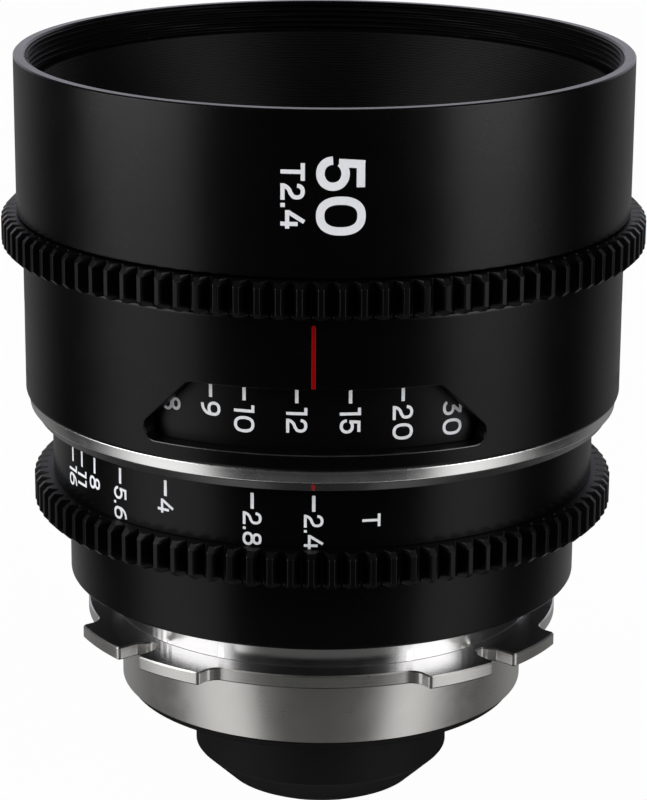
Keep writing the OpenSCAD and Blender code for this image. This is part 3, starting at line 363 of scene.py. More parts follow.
def tube_section(r_in, r_out, low, high, bevel):
    """Section of a plain ring with rounded outer edges."""
    return rounded([(r_in, low), (r_out, low), (r_out, high), (r_in, high)], [0, bevel, bevel, 0])


rear_r, rear_low, rear_top = span("rear_sleeve")
rear_wall, rear_bevel = 1.9, 0.35
turned_piece("rear_sleeve_skin", tube_section(rear_r - rear_wall, rear_r, rear_low, rear_top, rear_bevel),
             "barrel", [black_skin], ["rear_sleeve"])


# Iris gear: a ring of module 0.8 teeth that a lens motor turns, cut in black anodised aluminium and
# chamfered at both ends of its teeth. Its end faces are duller. It is pressed on the iris scale ring.
gear_module, tooth_tip_round, tooth_root_round = 0.8, 0.16, 0.22
gear_black = blasted_black("gear_black", (0.0010, 0.0010, 0.0010), 0.34, 0.18, 0.2, 2.5)
dull_black = blasted_black("dull_black", (0.0010, 0.0010, 0.0010), 0.42, 0.1)


def gear_section(teeth):
    """Azimuths and radii of a ring of teeth. A tooth is a rack tooth with sides at 20 degrees, its tip a
    module outside the pitch circle and its root 1.25 modules inside, with rounded corners."""
    pitch, pitch_r = math.pi * gear_module, gear_module * teeth / 2
    tip, root, foot = gear_module, -1.25 * gear_module, -3 * gear_module
    slope = math.tan(math.radians(20))
    tip_half, root_half = pitch / 4 - tip * slope, pitch / 4 - root * slope
    corners = [(-pitch / 2, foot), (pitch / 2, foot), (pitch / 2, root), (root_half, root), (tip_half, tip),
               (-tip_half, tip), (-root_half, root), (-pitch / 2, root)]
    bends = [tooth_root_round, tooth_tip_round, tooth_tip_round, tooth_root_round]
    tooth = rounded(corners, [0, 0, 0] + bends + [0], 4)
    tooth = tooth[tooth[:, 1] > (foot + root) / 2]
    tooth = tooth[np.argsort(tooth[:, 0])][:-1]
    turn = (np.arange(teeth)[:, None] + tooth[:, 0] / pitch) * 2 * np.pi / teeth
    return turn.ravel(), np.tile(pitch_r + tooth[:, 1], teeth)


def gear_piece(name, node, body, teeth, phase, bore_r, chamfer=0.7):
    """Gear ring: its teeth are held inside a cone at each end, so that the radius at a height is the
    smaller of the tooth's and the chamfer's, and the end faces run in to the bore."""
    tip_r, low, high = span(node)
    azimuth, radius = gear_section(teeth)
    azimuth = azimuth + math.radians(phase)
    into = chamfer * np.array([0, 0.04, 0.16, 0.32, 0.48, 0.64, 0.8, 0.92, 1.0, 1.1])
    limit = tip_r - chamfer + np.minimum(into, chamfer)
    heights = np.concatenate([low + into, high - into[::-1]])
    limit = np.concatenate([limit, limit[::-1]])
    outside = polar(np.minimum(radius, limit[:, None]), azimuth, heights[:, None])
    bore = polar(bore_r, azimuth, np.array([low, high])[:, None])
    points = np.concatenate([bore[:1], outside, bore[1:]])
    rows, columns = points.shape[:2]
    ends = np.repeat(np.isin(np.arange(rows), (0, rows - 2)), columns)
    piece(name, points, grid_quads(rows, columns), body, [gear_black, dull_black], [node],
          ends)


gear_piece("iris_gear_teeth", "iris_gear_ring", "iris_ring", teeth=94, phase=-0.3, bore_r=35.0)


# Iris scale ring: a black ring that carries the T-stops, engraved and filled with white paint. It turns
# with the gear under it, and a screw through it drives the cam ring of the iris.
iris_r, iris_low, iris_top = span("iris_scale_ring")
iris_in, iris_seat_r, iris_gear_top = 32.9, 34.98, 20.25
iris_foot_round, iris_top_round = 0.1, 0.22
turned_piece("iris_scale_skin", rounded(
    [(iris_in, iris_low), (iris_seat_r, iris_low), (iris_seat_r, iris_gear_top), (iris_r, iris_gear_top),
     (iris_r, iris_top), (iris_in, iris_top)], [0, 0, 0, iris_foot_round, iris_top_round, 0]),
    "iris_ring", [black_skin], ["iris_scale_ring"])


def stroke_line(x0, y0, x1, y1, steps=11):
    """Points of a straight stroke."""
    return np.linspace((x0, y0), (x1, y1), steps)


def stroke_arc(x, y, half_w, half_h, start, end, steps=33, square=2.3):
    """Points of a bowl: an ellipse drawn a little towards a rectangle, its sine and cosine raised to 2 over
    the squareness, between two angles in degrees."""
    turn = np.radians(np.linspace(start, end, steps))
    bow = np.stack([np.cos(turn), np.sin(turn)], -1)
    bow = np.sign(bow) * np.abs(bow) ** (2 / square)
    return np.array([x, y]) + np.array([half_w, half_h]) * bow


def glyph(sign, w):
    """Strokes of a sign one unit high, as centre lines of a pen w wide, and the sign's width."""
    h = w / 2
    six = [stroke_arc(0.35, 0.33, 0.35 - h, 0.33 - h, 0, 360),
           stroke_arc(0.64, 0.36, 0.64 - h, 0.64 - h, 180, 92, 33, 2.5)]
    signs = {
        "0": ([stroke_arc(0.4, 0.5, 0.4 - h, 0.5 - h, 0, 360, 49, 2.4)], 0.80),
        "1": ([stroke_line(0.37 - h, 0, 0.37 - h, 1), stroke_line(0, 1 - h, 0.37 - h, 1 - h)], 0.37),
        "2": ([np.concatenate([stroke_arc(0.33, 0.67, 0.33 - h, 0.33 - h, 178, -38),
                               stroke_arc(0.53, 0.02, 0.53 - h, 0.40, 105, 172, 15)]),
               stroke_line(0, h, 0.69, h)], 0.69),
        "3": ([stroke_line(0.04, 1 - h, 0.64, 1 - h), stroke_line(0.60, 1 - h, 0.26, 0.54),
               stroke_arc(0.34, 0.31, 0.36 - h, 0.31 - h, 112, -160)], 0.70),
        "4": ([stroke_line(0.48, 0.98, 0.06, 0.30), stroke_line(0, 0.28, 0.77, 0.28),
               stroke_line(0.57, 0.71, 0.57, 0)], 0.77),
        "5": ([stroke_line(0.09, 0.98 - h, 0.63, 0.98 - h), stroke_line(0.08 + h, 0.98, 0.045 + h, 0.455),
               stroke_arc(0.35, 0.336, 0.35 - h, 0.336 - h, 147, -180, 41, 2.1)], 0.70),
        "6": (six, 0.70),
        "7": ([stroke_line(0, 1 - h, 0.66, 1 - h), stroke_line(0.62, 1 - w, 0.2, 0)], 0.66),
        "8": ([stroke_arc(0.36, 0.745, 0.31 - h, 0.255 - h, 0, 360),
               stroke_arc(0.36, 0.275, 0.36 - h, 0.29 - h, 0, 360)], 0.72),
        "9": ([np.array([0.70, 1.0]) - stroke for stroke in six], 0.70),
        ".": ([stroke_line(h, 0, h, w * 1.05)], w),
        "T": ([stroke_line(0, 1 - h, 0.73, 1 - h), stroke_line(0.365, 0, 0.365, 1)], 0.73),
    }
    return signs[sign]


def pen(path, w):
    """Solid stroke: a flat bar as wide as the pen, at each point of a path if need be, with square ends, or a
    loop where the path comes back to its start. Its third coordinate is 0 at the bottom and 1 at the top."""
    loop = np.allclose(path[0], path[-1], atol=1e-6)
    path = path[:-1] if loop else path
    w = np.broadcast_to(w, len(path))[:, None]
    if loop:
        along = unit(np.roll(path, -1, 0) - np.roll(path, 1, 0))
    else:
        along = unit(np.gradient(path, axis=0))
    left = path + w / 2 * np.stack([-along[:, 1], along[:, 0]], -1)
    right = 2 * path - left
    rows = [np.column_stack([side, np.full(len(side), level)]) for side, level in
            ((left, 0.0), (right, 0.0), (right, 1.0), (left, 1.0))]
    count = len(path)
    quads = grid_quads(4, count, True, loop)
    if not loop:
        first = count * np.arange(4)
        quads = np.concatenate([quads, [first, (first + count - 1)[::-1]]])
    return np.concatenate(rows), quads


def inscription(signs, height, w, gap):
    """Solid strokes of a row of signs, from the row's start, in millimetres, and the row's length."""
    parts, at = [], 0.0
    for sign in signs:
        strokes, width = glyph(sign, w)
        for stroke in strokes:
            points, quads = pen(stroke, w)
            points[:, 0] += at
            parts.append((points * (height, height, 1), quads))
        at += width + gap
    return parts, (at - gap) * height


def engraved(name, body, material, radius, marks, thickness=0.03):
    """Painted marks on a cylinder. Each mark is its strokes, the azimuth of its middle line, the height of
    its start and its half height: along a row the height falls, and across it the azimuth grows."""
    points, quads, count = [], [], 0
    for parts, azimuth, start, middle in marks:
        for stroke, faces in parts:
            turn = math.radians(azimuth) + (stroke[:, 1] - middle) / radius
            lift = radius - thickness / 2 + thickness * stroke[:, 2]
            points.append(polar(lift, turn, start - stroke[:, 0]))
            quads.append(faces[:, ::-1] + count)
            count += len(stroke)
    piece(name, np.concatenate(points), np.concatenate(quads), body, [material], crease=30)


def tick(length, width):
    """One straight mark along the axis."""
    return [pen(stroke_line(0, width / 2, length, width / 2, 3), width)]


def paint(name, colour, roughness):
    """Baked paint in an engraved line: a faint unevenness of tone and surface."""
    material, shader, start = finish(name, Metallic=0.0, Specular_IOR_Level=0.3)
    grains = speckle(start, 0.25, 2.0)
    tinted(grains, colour, 0.85).feeds(shader, "Base Color")
    (roughness - 0.1 + grains * 0.2).feeds(shader, "Roughness")
    raised(start, grains, 4.0).feeds(shader, "Normal")
    return material


white_paint = paint("white_paint", (0.80, 0.81, 0.84), 0.6)
stop_azimuths = {"2.4": 0.0, "2.8": -12.2, "4": -31.2, "5.6": -43.4, "8": -52.0, "11": -57.2, "16": -61.6}
stop_height, stop_pen, stop_gap = 2.39, 0.145, 0.13
stop_tick_top, stop_tick_len, stop_tick_w, stop_start = 27.16, 2.06, 0.42, 24.68
t_height, t_pen, t_azimuth, t_start = 2.26, 0.15, 11.35, 24.7
stop_marks = [(tick(stop_tick_len, stop_tick_w), azimuth, stop_tick_top, stop_tick_w / 2)
              for azimuth in stop_azimuths.values()]
stop_marks += [(inscription(label, stop_height, stop_pen, stop_gap)[0], azimuth, stop_start, stop_height / 2)
               for label, azimuth in stop_azimuths.items()]
stop_marks.append((inscription("T", t_height, t_pen, 0)[0], t_azimuth, t_start, t_height / 2))
engraved("iris_scale_marks", "iris_ring", white_paint, iris_r, stop_marks)


# Index ring and accent ring: a black ring with a polished chamfer that faces the iris scale and holds its
# red dot, and above it a ring of bright turned aluminium between it and the main barrel.
polished_black = blasted_black("polished_black", (0.016, 0.016, 0.016), 0.22, 0.5, 0.6, 0.3)
index_low, index_top = span("index_ring")[1:]
index_in, index_r, index_slope, index_rounds = 36.5, 38.5, 0.6, [0, 0.12, 0.05, 0]
index_foot = index_r - index_slope * (index_top - index_low)
turned_piece("index_ring_skin", rounded(
    [(index_in, index_low), (index_foot, index_low), (index_r, index_top), (index_in, index_top)],
    index_rounds), "barrel", [polished_black], ["index_ring"])

bright_aluminium = turned_metal("bright_aluminium", (0.92, 0.92, 0.91), 0.26, 0.22, 2.5, 0.16)
accent_low, accent_top = span("accent_ring")[1:]
accent_in, accent_low_r, accent_top_r, accent_rounds = 37.92, 38.72, 38.90, [0, 0.2, 0.1, 0]
turned_piece("accent_ring_skin", rounded(
    [(accent_in, accent_low), (accent_low_r, accent_low), (accent_top_r, accent_top),
     (accent_in, accent_top)], accent_rounds),
    "barrel", [bright_aluminium], ["accent_ring"])

red_paint = paint("red_paint", (0.24, 0.002, 0.003), 0.6)
dot_half_w, dot_half_h, dot_lift, dot_steps = 0.29, 0.47, 0.02, 24
dot_turn = np.linspace(0, 2 * np.pi, dot_steps + 1)[:-1]
dot_share = np.array([[0.0, 1.0], [1.0, 1.0], [1.0, 0.0], [0.0, 0.0]])
dot_across = dot_half_w * np.outer(dot_share[:, 0], np.cos(dot_turn))
dot_up = (index_top - index_low) / 2 + dot_half_h * np.outer(dot_share[:, 0], np.sin(dot_turn))
dot_face = dot_lift * (2 * dot_share[:, 1:] - 1)
dot_radius = index_foot + index_slope * dot_up + dot_face
dot_points = polar(dot_radius, dot_across / index_r, index_low + dot_up - dot_face)
piece("iris_index_dot", dot_points, grid_quads(4, dot_steps, False)[:, ::-1], "barrel", [red_paint])


# Focus scale drum: the black drum seen through the window, with the distances engraved round it. It turns
# on the helical sleeve, so a number's place follows one over its distance.
drum_r, drum_low, drum_top = span("focus_scale_drum")
drum_wall, drum_bevel = 1.3, 0.15
drum_black = blasted_black("drum_black", (0.001, 0.001, 0.001), 0.33, 0.19)
turned_piece("focus_drum_skin", tube_section(drum_r - drum_wall, drum_r, drum_low, drum_top, drum_bevel),
             "focus_ring", [drum_black], ["focus_scale_drum"])
distances = ("2", "2.25", "2.5", "2.75", "3", "3.5", "4", "4.5", "5", "6", "7", "8", "9", "10", "12", "15",
             "20", "30")
infinity_azimuth, distance_turn = 47.0, 602.6
digit_height, digit_pen, digit_gap = 2.57, 0.147, 0.19
digit_tick_top, digit_tick_len, digit_tick_w, digit_start = 41.55, 2.3, 0.42, 38.7
digit_tick = tick(digit_tick_len, digit_tick_w)
distance_marks = []
for label in distances:
    place = infinity_azimuth - distance_turn / float(label)
    number = inscription(label, digit_height, digit_pen, digit_gap)[0]
    distance_marks.append((digit_tick, place, digit_tick_top, digit_tick_w / 2))
    distance_marks.append((number, place, digit_start, digit_height / 2))
lazy_half = 0.34 * digit_height
lazy_eight = [(points[:, [1, 0, 2]], quads[:, ::-1]) for points, quads in
              inscription("8", digit_height, digit_pen, 0)[0]]
distance_marks.append((digit_tick, infinity_azimuth, digit_tick_top, digit_tick_w / 2))
distance_marks.append((lazy_eight, infinity_azimuth, digit_start, lazy_half))
engraved("focus_scale_marks", "focus_ring", white_paint, drum_r, distance_marks)


# Main barrel: the fixed black tube round the drum, with a milled window over the scale and a red index line
# engraved above it. Its skirt lies inside the accent ring, where three screws hold it to the rear body. The
# window's sides slope, its walls are dull and the lip of its sill is worn smooth.
barrel_r, barrel_skirt_low, barrel_top = span("main_barrel")
barrel_low, barrel_in, skirt_in, skirt_r, skirt_step = 31.2, 37.35, 36.5, 37.9, 0.45
window_low, window_high, window_top_half, window_half = 33.35, 41.55, math.radians(22.9), math.radians(35.8)
window_rounds, window_lip, barrel_bevel, sill_reach = [1.6, 1.6, 0.9, 0.9], 0.13, 0.45, 0.1


def window_outline():
    """Outline of the window, counter-clockwise, unrolled to millimetres: a trapezoid with round corners."""
    corners = np.array([(-window_half, window_low), (window_half, window_low),
                        (window_top_half, window_high), (-window_top_half, window_high)])
    return rounded(corners * (barrel_r, 1), window_rounds, 12)


def from_middle(outline, middle, directions):
    """Distance from a middle point to an outline along directions. A ray meets an edge's line at start cross
    edge over direction cross edge, and of the meetings ahead that lie on their edges the nearest counts."""
    start, end = outline - middle, np.roll(outline, -1, 0) - middle
    edge = end - start
    cross = directions[:, None, 0] * edge[None, :, 1] - directions[:, None, 1] * edge[None, :, 0]
    cross = np.where(np.abs(cross) < 1e-12, 1e-12, cross)
    reach = (start[None, :, 0] * edge[None, :, 1] - start[None, :, 1] * edge[None, :, 0]) / cross
    share = (start[None, :, 0] * directions[:, None, 1] - start[None, :, 1] * directions[:, None, 0]) / cross
    hit = (reach > 0) & (share >= -1e-9) & (share <= 1 + 1e-9)
    return np.where(hit, reach, np.inf).min(1)


def barrel_grid(around=361, seam_steps=9, skin_rows=49, crowding=1.6):
    """Grid of the barrel, unrolled: columns are rays from the window's middle to the barrel's ends and its
    back seam, rows run in through the window's wall, out over its lip, along the skin and over the ends.
    The skin's rows crowd towards the window, their shares of the way raised to a power."""
    middle = np.array([0.0, (window_low + window_high) / 2])
    half_round = math.pi * barrel_r
    low, high = barrel_low + barrel_bevel, barrel_top - barrel_bevel
    across = np.linspace(-half_round, half_round, around)
    up = np.linspace(low, high, seam_steps)[1:-1]
    sides = [(across, low), (half_round, up), (across[::-1], high), (-half_round, up[::-1])]
    frame_points = np.concatenate([np.column_stack(np.broadcast_arrays(*side)) for side in sides])
    outline = window_outline()
    extra = outline - middle
    stretch = np.min(np.stack([
        np.where(extra[:, 1] > 0, (high - middle[1]) / np.maximum(extra[:, 1], 1e-9),
                 (low - middle[1]) / np.minimum(extra[:, 1], -1e-9)),
        half_round / np.maximum(np.abs(extra[:, 0]), 1e-9)]), 0)
    frame_points = np.concatenate([frame_points, middle + extra * stretch[:, None]])
    order = np.argsort(np.arctan2(frame_points[:, 1] - middle[1], frame_points[:, 0]))
    frame_points = frame_points[order]
    rays = unit(frame_points - middle)
    inner = middle + rays * from_middle(outline, middle, rays)[:, None]
    edge = np.roll(outline, -1, 0) - np.roll(outline, 1, 0)
    wider = outline + window_lip * unit(edge[:, ::-1] * (1, -1))
    grown = middle + rays * from_middle(wider, middle, rays)[:, None]
    share = np.linspace(0, 1, skin_rows)[:, None, None] ** crowding
    skin = grown + (frame_points - grown) * share
    lip = [(inner, barrel_in), (inner, barrel_r - window_lip)]
    for turn in np.linspace(0, np.pi / 2, 4)[1:-1]:
        flat = inner + (grown - inner) * (1 - math.cos(turn))
        lip.append((flat, barrel_r - window_lip * (1 - math.sin(turn))))
    rows = [polar(radius, flat[:, 0] / barrel_r, flat[:, 1]) for flat, radius in lip]
    rows += [polar(barrel_r, flat[:, 0] / barrel_r, flat[:, 1]) for flat in skin]
    side = np.sign(frame_points[:, 1] - middle[1])
    at_end = (np.abs(frame_points[:, 1] - low) < 1e-6) | (np.abs(frame_points[:, 1] - high) < 1e-6)
    for turn in np.linspace(0, np.pi / 2, 4)[1:]:
        height = frame_points[:, 1] + np.where(at_end, side * barrel_bevel * math.sin(turn), 0)
        radius = barrel_r - np.where(at_end, barrel_bevel * (1 - math.cos(turn)), 0)
        rows.append(polar(radius, frame_points[:, 0] / barrel_r, height))
    end_height = np.where(at_end, np.where(side > 0, barrel_top, barrel_low), frame_points[:, 1])
    rows.append(polar(np.where(at_end, barrel_in, barrel_r), frame_points[:, 0] / barrel_r, end_height))
    return np.stack(rows), inner[:, 1] < window_low + sill_reach


barrel_points, on_sill = barrel_grid()
barrel_rows, barrel_columns = barrel_points.shape[:2]
barrel_row = np.arange(barrel_rows - 1)
worn_lip = np.outer(np.isin(barrel_row, (1, 2, 3)), on_sill).ravel()
window_wall = np.repeat(barrel_row == 0, barrel_columns)
piece("main_barrel_skin", barrel_points, grid_quads(barrel_rows, barrel_columns, False), "barrel",
      [black_skin, polished_black, dull_black], ["main_barrel"],
      worn_lip + 2 * window_wall)
skirt_top = barrel_low + skirt_step
turned_piece("main_barrel_skirt", rounded(
    [(skirt_in, barrel_skirt_low), (skirt_r, barrel_skirt_low), (skirt_r, barrel_low),
     (barrel_in, barrel_low), (barrel_in, skirt_top), (skirt_in, skirt_top)], 0),
    "barrel", [black_skin])


def painted_shade_red_groove(name, half_w):
    """Red paint in a round groove, the groove's shading painted into it: darker along the middle, where |x|
    is small, than at its edges.
    """
    material, shader, start = finish(name, Roughness=0.5, Specular_IOR_Level=0.05)
    off = abs(own_axes(start)[0]) * (1000 / half_w)
    tone = start.node("Mix", {"data_type": "RGBA"},
                      {"Factor": off ** 2.0, 6: (0.13, 0.0005, 0.0005, 1), 7: (0.44, 0.003, 0.004, 1)}, out=2)
    tone.feeds(shader, "Base Color")
    raised(start, speckle(start, 0.2), 4.0).feeds(shader, "Normal")
    return material


line_w, line_gap, line_top = 0.49, 0.15, 49.6
line_len = line_top - (window_high + line_gap)
round_end = np.linspace(0.05, 1, 8) * np.pi / 2
line_x = np.concatenate([line_w / 2 * (1 - np.cos(round_end)), np.linspace(line_w, line_len, 9)])
line_width = np.concatenate([line_w * np.sin(round_end), np.full(9, line_w)])
line_stroke = pen(np.column_stack([line_x, np.full(len(line_x), line_w / 2)]), line_width)
engraved("focus_index_line", "barrel", painted_shade_red_groove("painted_shade_red_groove", line_w / 2), barrel_r,
         [([line_stroke], 0, line_top, line_w / 2)])


# Focus gear: the ring of module 0.8 teeth for a follow focus, just below the front bell. Grub screws
# between its teeth hold it on the helical sleeve.
gear_piece("focus_gear_teeth", "focus_gear_ring", "focus_ring", teeth=103, phase=1.29, bore_r=35.7)


# Front bell: the wide front, black anodised, with a filter thread inside its rim and a bright narrow
# chamfer on its edge. The focal length and the widest T-stop are engraved on its side.
bell_r, bell_low, bell_top = span("front_bell")
filter_r, filter_len, thread_pitch, thread_depth = 38.5, 4.0, 0.75, 0.42
thread_mouth, thread_start, thread_end, thread_flat = 0.25, 0.4, 0.05, 0.2
bell_in, bell_floor_low, bell_floor_top, bell_hole_r, bell_room_r = 37.6, 55.45, 58.05, 33.55, 36.03
rim_chamfer, rim_round, mouth_round, bell_bevel, bell_floor_round = 0.2, 0.06, 0.05, 0.3, 0.3


def bell_grid(columns=288, thread_rows=60):
    """Grid of the bell. The rows of the filter thread carry its zigzag section, which climbs by one pitch in
    a turn: a row's height falls back by the azimuth's share of a pitch and is held inside the thread."""
    mouth = (filter_r, bell_top - thread_mouth)
    section = rounded(
        [(bell_room_r, bell_low), (bell_r, bell_low), (bell_r, bell_top - rim_chamfer),
         (bell_r - rim_chamfer, bell_top), (filter_r + thread_mouth, bell_top), mouth,
         (bell_in, bell_top - filter_len), (bell_in, bell_floor_top), (bell_hole_r, bell_floor_top),
         (bell_hole_r, bell_floor_low), (bell_room_r, bell_floor_low)],
        [0, bell_bevel, rim_round, rim_round, mouth_round, 0, 0, bell_floor_round, 0, 0, 0], 4)
    split = np.argmin(np.abs(section - mouth).sum(1)) + 1
    azimuth = np.arange(columns) * 2 * np.pi / columns
    top, low = bell_top - thread_start, bell_top - filter_len + thread_end
    turns = np.linspace(0, (top - low) / thread_pitch + 1, thread_rows)[:, None] - azimuth / (2 * np.pi)
    height = np.clip(top - turns * thread_pitch, low, top)
    wave = np.abs((turns % 1) * 2 - 1)
    ridge = filter_r - thread_depth * np.clip(wave * (1 + 2 * thread_flat) - thread_flat, 0, 1)
    radius = np.where((height <= low) | (height >= top), filter_r, ridge)
    thread = polar(radius, azimuth, height)
    plain = turned(section, columns)
    points = np.concatenate([plain[:split], thread, plain[split:]])
    return points, np.repeat(np.arange(len(points)) >= split, columns)


def matt_black(name, colour, roughness):
    """Deep matt black: a soft powdery grain."""
    material, shader, start = finish(name, Metallic=0.0, Specular_IOR_Level=0.11)
    grains = speckle(start, 0.3, 3.0)
    tinted(grains, colour, 0.7, 1.3).feeds(shader, "Base Color")
    (roughness - 0.08 + grains * 0.16).feeds(shader, "Roughness")
    raised(start, grains, 12.0).feeds(shader, "Normal")
    return material


inside_black = matt_black("inside_black", (0.0007, 0.0007, 0.0007), 0.5)
bell_points, bell_inside = bell_grid()
bell_black = blasted_black("bell_black", (0.0010, 0.0010, 0.0011), 0.26, 0.215)
piece("front_bell_skin", bell_points, grid_quads(*bell_points.shape[:2]), "barrel",
      [bell_black, inside_black], ["front_bell"], bell_inside, crease=30)
focal_height, focal_pen, focal_gap, focal_azimuth, focal_middle = 5.87, 0.17, 0.115, 4.5, 65.53
widest_height, widest_pen, widest_gap, widest_azimuth, widest_middle = 2.88, 0.174, 0.125, -3.64, 65.5
focal_parts, focal_len = inscription("50", focal_height, focal_pen, focal_gap)
widest_parts, widest_len = inscription("T2.4", widest_height, widest_pen, widest_gap)
engraved("front_bell_marks", "barrel", white_paint, bell_r, [
    (focal_parts, focal_azimuth, focal_middle + focal_len / 2, focal_height / 2),
    (widest_parts, widest_azimuth, widest_middle + widest_len / 2, widest_height / 2)])


# Front baffle: the ribbed matt black cone inside the bell, which keeps stray light off the glass. Its
# ribs are turned, fine and shallow.
baffle_black = matt_black("baffle_black", (0.0009, 0.0009, 0.0009), 0.48)
baffle_out, baffle_low, baffle_top = span("front_baffle")
baffle_foot_r, baffle_top_r, baffle_wall, baffle_flare, baffle_rim = 30.83, 37.0, 1.0, 0.6, 1.0
rib_count, rib_depth, rib_steps = 34, 0.12, np.array([0.0, 0.45, 0.5, 0.95])
rib_share = (np.arange(rib_count)[:, None] + rib_steps).ravel() / rib_count
rib_cut = np.tile([0, 0, rib_depth, rib_depth], rib_count)
rib_radius = baffle_foot_r + (baffle_top_r - baffle_foot_r) * rib_share + rib_cut
rib_height = baffle_low + (baffle_top - baffle_low) * rib_share
baffle_section = np.concatenate([
    [(baffle_foot_r + baffle_wall + baffle_flare, baffle_low), (baffle_out, baffle_top - baffle_rim),
     (baffle_out, baffle_top), (baffle_top_r, baffle_top)],
    np.column_stack([rib_radius, rib_height])[::-1]])
turned_piece("front_baffle_ribs", baffle_section, "barrel", [baffle_black], ["front_baffle"])


# Cells: the front cell holds the front glass under a ring screwed in over it. The rear cell's tail passes
# down through the mount and ends in a conical nose, and a thin ring edges the spigot's rear end. All are
# turned in aluminium and blackened matt.
cell_black = matt_black("cell_black", (0.005, 0.005, 0.005), 0.5)
dress(cell_black, "front_cell", "front_retaining_ring", "second_retaining_ring", "fourth_retaining_ring",
      "fifth_retaining_ring", "rear_spacer_tube")

tail_black = blasted_black("tail_black", (0.006, 0.006, 0.006), 0.55, 0.15, 0.2, 4.0)
lip_r, lip_foot_r, lip_height, lip_rounds = 26.3, 26.1, 0.9, [0.2, 0.2, 0, 0]
lip_foot = spigot_low - lip_height
turned_piece("spigot_lip_ring", rounded(
    [(spigot_in, lip_foot), (lip_foot_r, lip_foot), (lip_r, spigot_low), (spigot_in, spigot_low)],
    lip_rounds), "barrel", [tail_black])

tail_low, cell_high = span("rear_cell")[1:]
tail_r, rear_glass_r = 17.1, 14.02
plate_r, plate_low, plate_top, shoulder_r, shoulder_low = 23.85, 9.2, 11.2, 19.68, 3.5
cell_rounds = [0, 0.05, 0.2, 0.2, 0, 0.1, 0.2, 0.2, 0.2, 0]
turned_piece("rear_cell_skin", rounded(
    [(rear_glass_r, tail_low), (tail_r, tail_low), (tail_r, shoulder_low), (shoulder_r, shoulder_low),
     (shoulder_r, plate_low), (plate_r, plate_low), (plate_r, plate_top), (shoulder_r, plate_top),
     (shoulder_r, cell_high), (rear_glass_r, cell_high)], cell_rounds),
    "barrel", [tail_black], ["rear_cell"])

# The nose's black is lighter than the tail's: painted light that makes up for the dark floor below, which it
# faces.
painted_light_nose_black = blasted_black("painted_light_nose_black", (0.022, 0.022, 0.022), 0.55, 0.15, 0.2, 4.0)
nose_low, nose_high = span("rear_nose_ring")[1:]
nose_tip_r, nose_hole_r, nose_thread_r, nose_gap = 11.5, 9.5, 13.98, 0.03
nose_bend_r, nose_bend, nose_wall, nose_hole_len = 12.9, nose_low + 0.7, 0.7, 2.3
nose_rounds = [0.2, 0.3, 0.6, 0.1, 0, 0, 0, 0.2]
turned_piece("rear_nose_skin", rounded(
    [(nose_hole_r, nose_low), (nose_tip_r, nose_low), (nose_bend_r, nose_bend), (tail_r, tail_low - nose_gap),
     (nose_thread_r, tail_low - nose_gap), (nose_thread_r, nose_high), (nose_thread_r - nose_wall, nose_high),
     (nose_hole_r, nose_low + nose_hole_len)], nose_rounds),
    "barrel", [painted_light_nose_black], ["rear_nose_ring"])


# Glass: eight elements with spherical faces and a thin coat that tints their reflections. The curves are
# given front and rear, hollow where negative, and the rest of each element's size is its solid's.
def coated_glass(name, coat):
    """Polished glass whose reflections take the coat's tint; dust shows as a faint change of roughness."""
    material, shader, start = finish(name, Transmission_Weight=1.0, IOR=1.55, Specular_Tint=list(coat) + [1])
    shader.inputs["Base Color"].default_value = (0.97, 0.98, 0.97, 1)
    (speckle(start, 1.5, 2.0) * 0.012).feeds(shader, "Roughness")
    return material


def sag(curve, radius):
    """How far a sphere of that curve falls behind its vertex at a radius."""
    return abs(curve) - np.sqrt(curve * curve - radius * radius)


def glass_piece(node, body, front, rear, material, rim=0.8, rings=28):
    """Glass element: its two faces are spheres out to the edge, or to a flat rim where a face is hollow."""
    edge_r, low, high = span(node)
    radius = edge_r * np.sin(np.linspace(0, np.pi / 2, rings))
    hollow = np.minimum(radius, edge_r - rim)
    top = high - sag(front, radius) if front > 0 else high - sag(front, edge_r - rim) + sag(front, hollow)
    base = low + sag(rear, radius) if rear > 0 else low + sag(rear, edge_r - rim) - sag(rear, hollow)
    section = np.concatenate([np.column_stack([radius, base]), np.column_stack([radius, top])[::-1]])
    points = turned(section, 128)
    piece(node + "_glass", points, grid_quads(*points.shape[:2], False), body, [material], [node])


amber_coat = coated_glass("amber_coat", (1.0, 0.78, 0.45))
green_coat = coated_glass("green_coat", (0.45, 0.85, 0.62))
violet_coat = coated_glass("violet_coat", (0.62, 0.52, 1.0))
glass_piece("front_element", "focus_group", 70, -45, green_coat)
glass_piece("second_element", "focus_group", 50, 120, amber_coat)
glass_piece("third_element", "focus_group", 60, 70, violet_coat)
glass_piece("fourth_element", "focus_group", -70, -90, amber_coat)
glass_piece("fifth_element", "barrel", -25, -50, green_coat)
glass_piece("sixth_element", "barrel", 50, 40, violet_coat)
glass_piece("seventh_element", "barrel", 60, 80, amber_coat)
glass_piece("rear_element", "barrel", 45, -60, green_coat)


# Stage: a plain pale floor under the lens, two soft boxes at its sides and a broad dim one behind it, in a
# dark room. The camera sees floor and room white. Metal and glass see the floor white in two bands beside
# the lens and grey near it and behind it, and black right round its foot, a painted shadow of the lens.
floor_half, floor_z = 4.0, span("rear_nose_ring")[1] / 1000
floor_corners = [(-floor_half, -floor_half, floor_z), (floor_half, -floor_half, floor_z),
                 (floor_half, floor_half, floor_z), (-floor_half, floor_half, floor_z)]
floor_mesh = bpy.data.meshes.new("floor")
floor_mesh.from_pydata(floor_corners, [], [(0, 1, 2, 3)])
floor = bpy.data.objects.new("floor", floor_mesh)
bpy.context.scene.collection.objects.link(floor)
floor_material, floor_shader, floor_start = finish("pale_floor", Roughness=0.8, Specular_IOR_Level=0.1)
floor_shader.inputs["Base Color"].default_value = (0.82, 0.82, 0.82, 1)
floor_x, floor_y = own_axes(floor_start)[:2]
floor_r = (floor_x * floor_x + floor_y * floor_y) ** 0.5
bands_y = -0.03
floor_azimuth = floor_start.math("ARCTAN2", floor_x, bands_y - floor_y) * (180 / math.pi)


